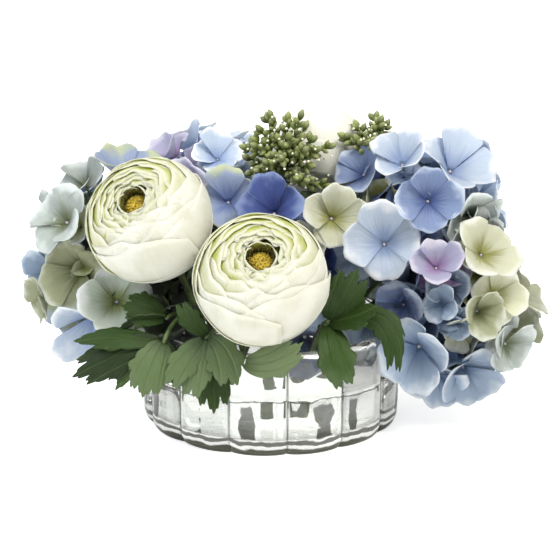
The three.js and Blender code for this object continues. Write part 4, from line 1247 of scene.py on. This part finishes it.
def fitted(floret):
    """The floret, lifted, sunk or made smaller until it cuts through none of those before it"""
    for smaller in FITTED_SIZES:
        for lift in FITTED_LIFTS:
            middle = floret.middle + floret.turn @ (0, 0, lift)
            tried = floret._replace(middle=middle, size=floret.size * smaller)
            if not any(cut_through(tried, other) for other in all_large):
                return tried
    return None


def floret_corners(longs, cup):
    """The outline of a solid's floret, before it is sized and turned"""
    outline = []
    for petal, long in enumerate(longs):
        side, tip = 0.9 * long, 1.04 * long
        for degrees, reach, rise in ((-45, 0.4, 0.2), (-33, side, 1), (0, tip, 0.7), (33, side, 1)):
            angle = math.radians(90 * petal + degrees)
            reach = FLORET_REACH * reach
            outline.append((reach * math.cos(angle), reach * math.sin(angle), cup * rise))
    return np.array(outline)


def found_floret(corners, head, out, aim, cup, longs):
    """The solid's floret on one way out of its head, as it was turned, lifted and sized, if it is there"""
    centre, radii = (np.array(head[key], float) for key in ("centre", "radii"))
    outline = floret_corners(longs, cup)
    most, best = 5, None
    for lift in FLORET_LIFTS:
        middle = centre + out * (radii - (FLORET_DEPTH - lift))
        if not has_corner(corners, middle):
            continue
        for size in FLORET_SIZES:
            for spin in range(FLORET_SPINS):
                turn = turned_to(aim, math.pi / 2 * spin / FLORET_SPINS)
                found = sum(has_corner(corners, spot) for spot in outline * size @ turn.T + middle)
                if found > most:
                    most, best = found, Floret(middle, size, turn, out, cup * 1.25, longs)
    return best


def turned_to(aim, spin):
    return turn_to(aim) @ np.array(Quaternion((0, 0, 1), spin).to_matrix())


def dye_at(spot, places, draw):
    """The dye of the nearest dyed place, a little off the spot"""
    spot = spot + DYE_DRIFT * (np.array([draw(), draw(), draw()]) - 0.5)
    return dyes[min(places, key=lambda dye: min(np.linalg.norm(spot - place) for place in places[dye]))]


def in_globe(spot, room):
    """Whether a spot is within a ranunculus globe or less than this room from it"""
    flowers = ranunculus.values()
    return any(np.linalg.norm(spot - flower["centre"]) < flower["size"] + room for flower in flowers)


large_florets, all_large = {name: [] for name in heads}, []
for name, head in heads.items():
    draw, own_draw = seeded(head["seed"]), seeded(head["seed"] + 3)
    centre, corners = np.array(head["centre"], float), corners_of(name)
    covered = (np.mean(head["radii"]) - FLORET_DEPTH) ** 2 * (1 - math.cos(math.radians(head["widest"])))
    head["count"] = math.floor(2 * math.pi * covered / FLORET_AREA + 0.5)
    for middle, aim, size in gap_florets[name]:
        longs = [0.9 + 0.15 * own_draw() for _ in range(4)]
        middle = np.array(middle, float)
        floret = Floret(middle, size, turn_to(aim), unit(middle - centre), GAP_CUP, longs)
        large_florets[name].append(fitted(floret) or floret)
        all_large.append(large_florets[name][-1])
    for out in fanned(head["facing"], head["count"], head["widest"], draw() * 6):
        aim = unit(out + (np.array([draw(), draw(), draw()]) - 0.5) * 0.4)
        cup = FLORET_CUP * (0.7 + 0.6 * draw())
        longs = [0.92 + 0.16 * draw() for _ in range(4)]
        floret = found_floret(corners, head, out, aim, cup, longs)
        if floret:
            middle, size = floret.middle + floret.turn @ (0, 0, 1.5), floret.size * (0.78 + 0.22 * own_draw())
            if all(np.linalg.norm(middle - other.middle) > FLORET_APART for other in all_large):
                floret = fitted(floret._replace(middle=middle, size=size))
                if floret:
                    large_florets[name].append(floret)
                    all_large.append(floret)

bead_angles = np.linspace(0.35, 2.8, 6)
core_angles = np.linspace(0.12, math.pi - 0.12, 15)
slots = sorted({head["slot"] for head in heads.values()})
head_fabrics = {slot: hydrangea_fabric(slot + "_fabric") for slot in slots}
for name, head in heads.items():
    draw = seeded(head["seed"] + 7)
    centre, radii, core = (np.array(head[key], float) for key in ("centre", "radii", "core"))
    places = dyed_places[name]
    form = Form()
    for floret in large_florets[name]:
        cup = floret.cup * (0.9 + 0.3 * draw())
        add_floret(form, floret, cup, dye_at(floret.middle + floret.out * 10, places, draw), draw, 11, 13)
        bead = 1 + 0.4 * draw()
        seat = 1 - FLORET_SINK
        rings = turned(bead * np.sin(bead_angles), seat - bead * np.cos(bead_angles), 10)
        points, faces = ringed(rings, (0, 0, seat - bead), (0, 0, seat + bead))
        add_plain(form, placed(points, floret), faces, "d9d6de")
        aim = floret.turn @ (0, 0, 1)
        top = floret.middle - FLORET_SINK * floret.size * aim
        path = bend(top, floret.middle - 16 * aim, centre + floret.out * core * 0.9, 6)
        add_plain(form, *tube(path, FLORET_STALK, 6), "6f7f4c")

    # Smaller florets wherever there is a gap between the large ones, then a deep layer in darker dyes,
    # painted shade deep in the head
    fillers = []
    for out in fanned(head["facing"], 15 * head["count"], head["widest"] + 4, draw() * 6):
        aim = unit(out + (np.array([draw(), draw(), draw()]) - 0.5) * 0.7)
        turn = turned_to(aim, 6 * draw())
        for seat, size in FILLER_SEATS:
            middle = centre + out * (radii - seat)
            too_near = any(np.linalg.norm(middle - other) < FILLER_APART for other in fillers)
            outside = abs(middle[0]) > FILLER_WIDEST or middle[2] < FILLER_LOWEST
            if in_globe(middle, 20 * size) or too_near or outside:
                continue
            floret = Floret(middle, size, turn, out, 10, (1, 0.95, 1.02, 0.9))
            near = [other for other in all_large if np.linalg.norm(middle - other.middle) < NEIGHBOURS_WITHIN]
            if not any(np.any(heights_over(floret, other) > -UNDER_BOWL) for other in near):
                fillers.append(middle)
                add_floret(form, floret, floret.cup, dye_at(middle + out * 12, places, draw), draw, 9, 9)
                break
    for out in fanned(head["facing"], head["count"], head["widest"] - 6, draw() * 6 + 4):
        middle = centre + out * (radii - DEEP_SEAT)
        if not in_globe(middle, 16):
            floret = Floret(middle, DEEP_SIZE, turned_to(out, 6 * draw()), out, 7, (1, 1, 1, 1))
            # Painted shade: the deep florets take their dye's middle over the blades and its blades over the
            # rims
            heart, blade = dye_at(middle + out * 14, places, draw)[:2]
            add_floret(form, floret, floret.cup, (heart, heart, blade), draw, 7, 7)
    # The foam core, in a dark blue-grey that is painted shade showing through the gaps between florets
    points, faces = ringed(turned(np.sin(core_angles), -np.cos(core_angles), 24), (0, 0, -1), (0, 0, 1))
    add_plain(form, points * core * 0.97 + centre, faces, "2c3a4a")
    form.piece(name + "_head", head_fabrics[head["slot"]], [name], head["slot"])

visual_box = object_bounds()
boxes = {"cad": cad_box, "visual": visual_box}
{name: [list(corner) for corner in box] for name, box in boxes.items()}
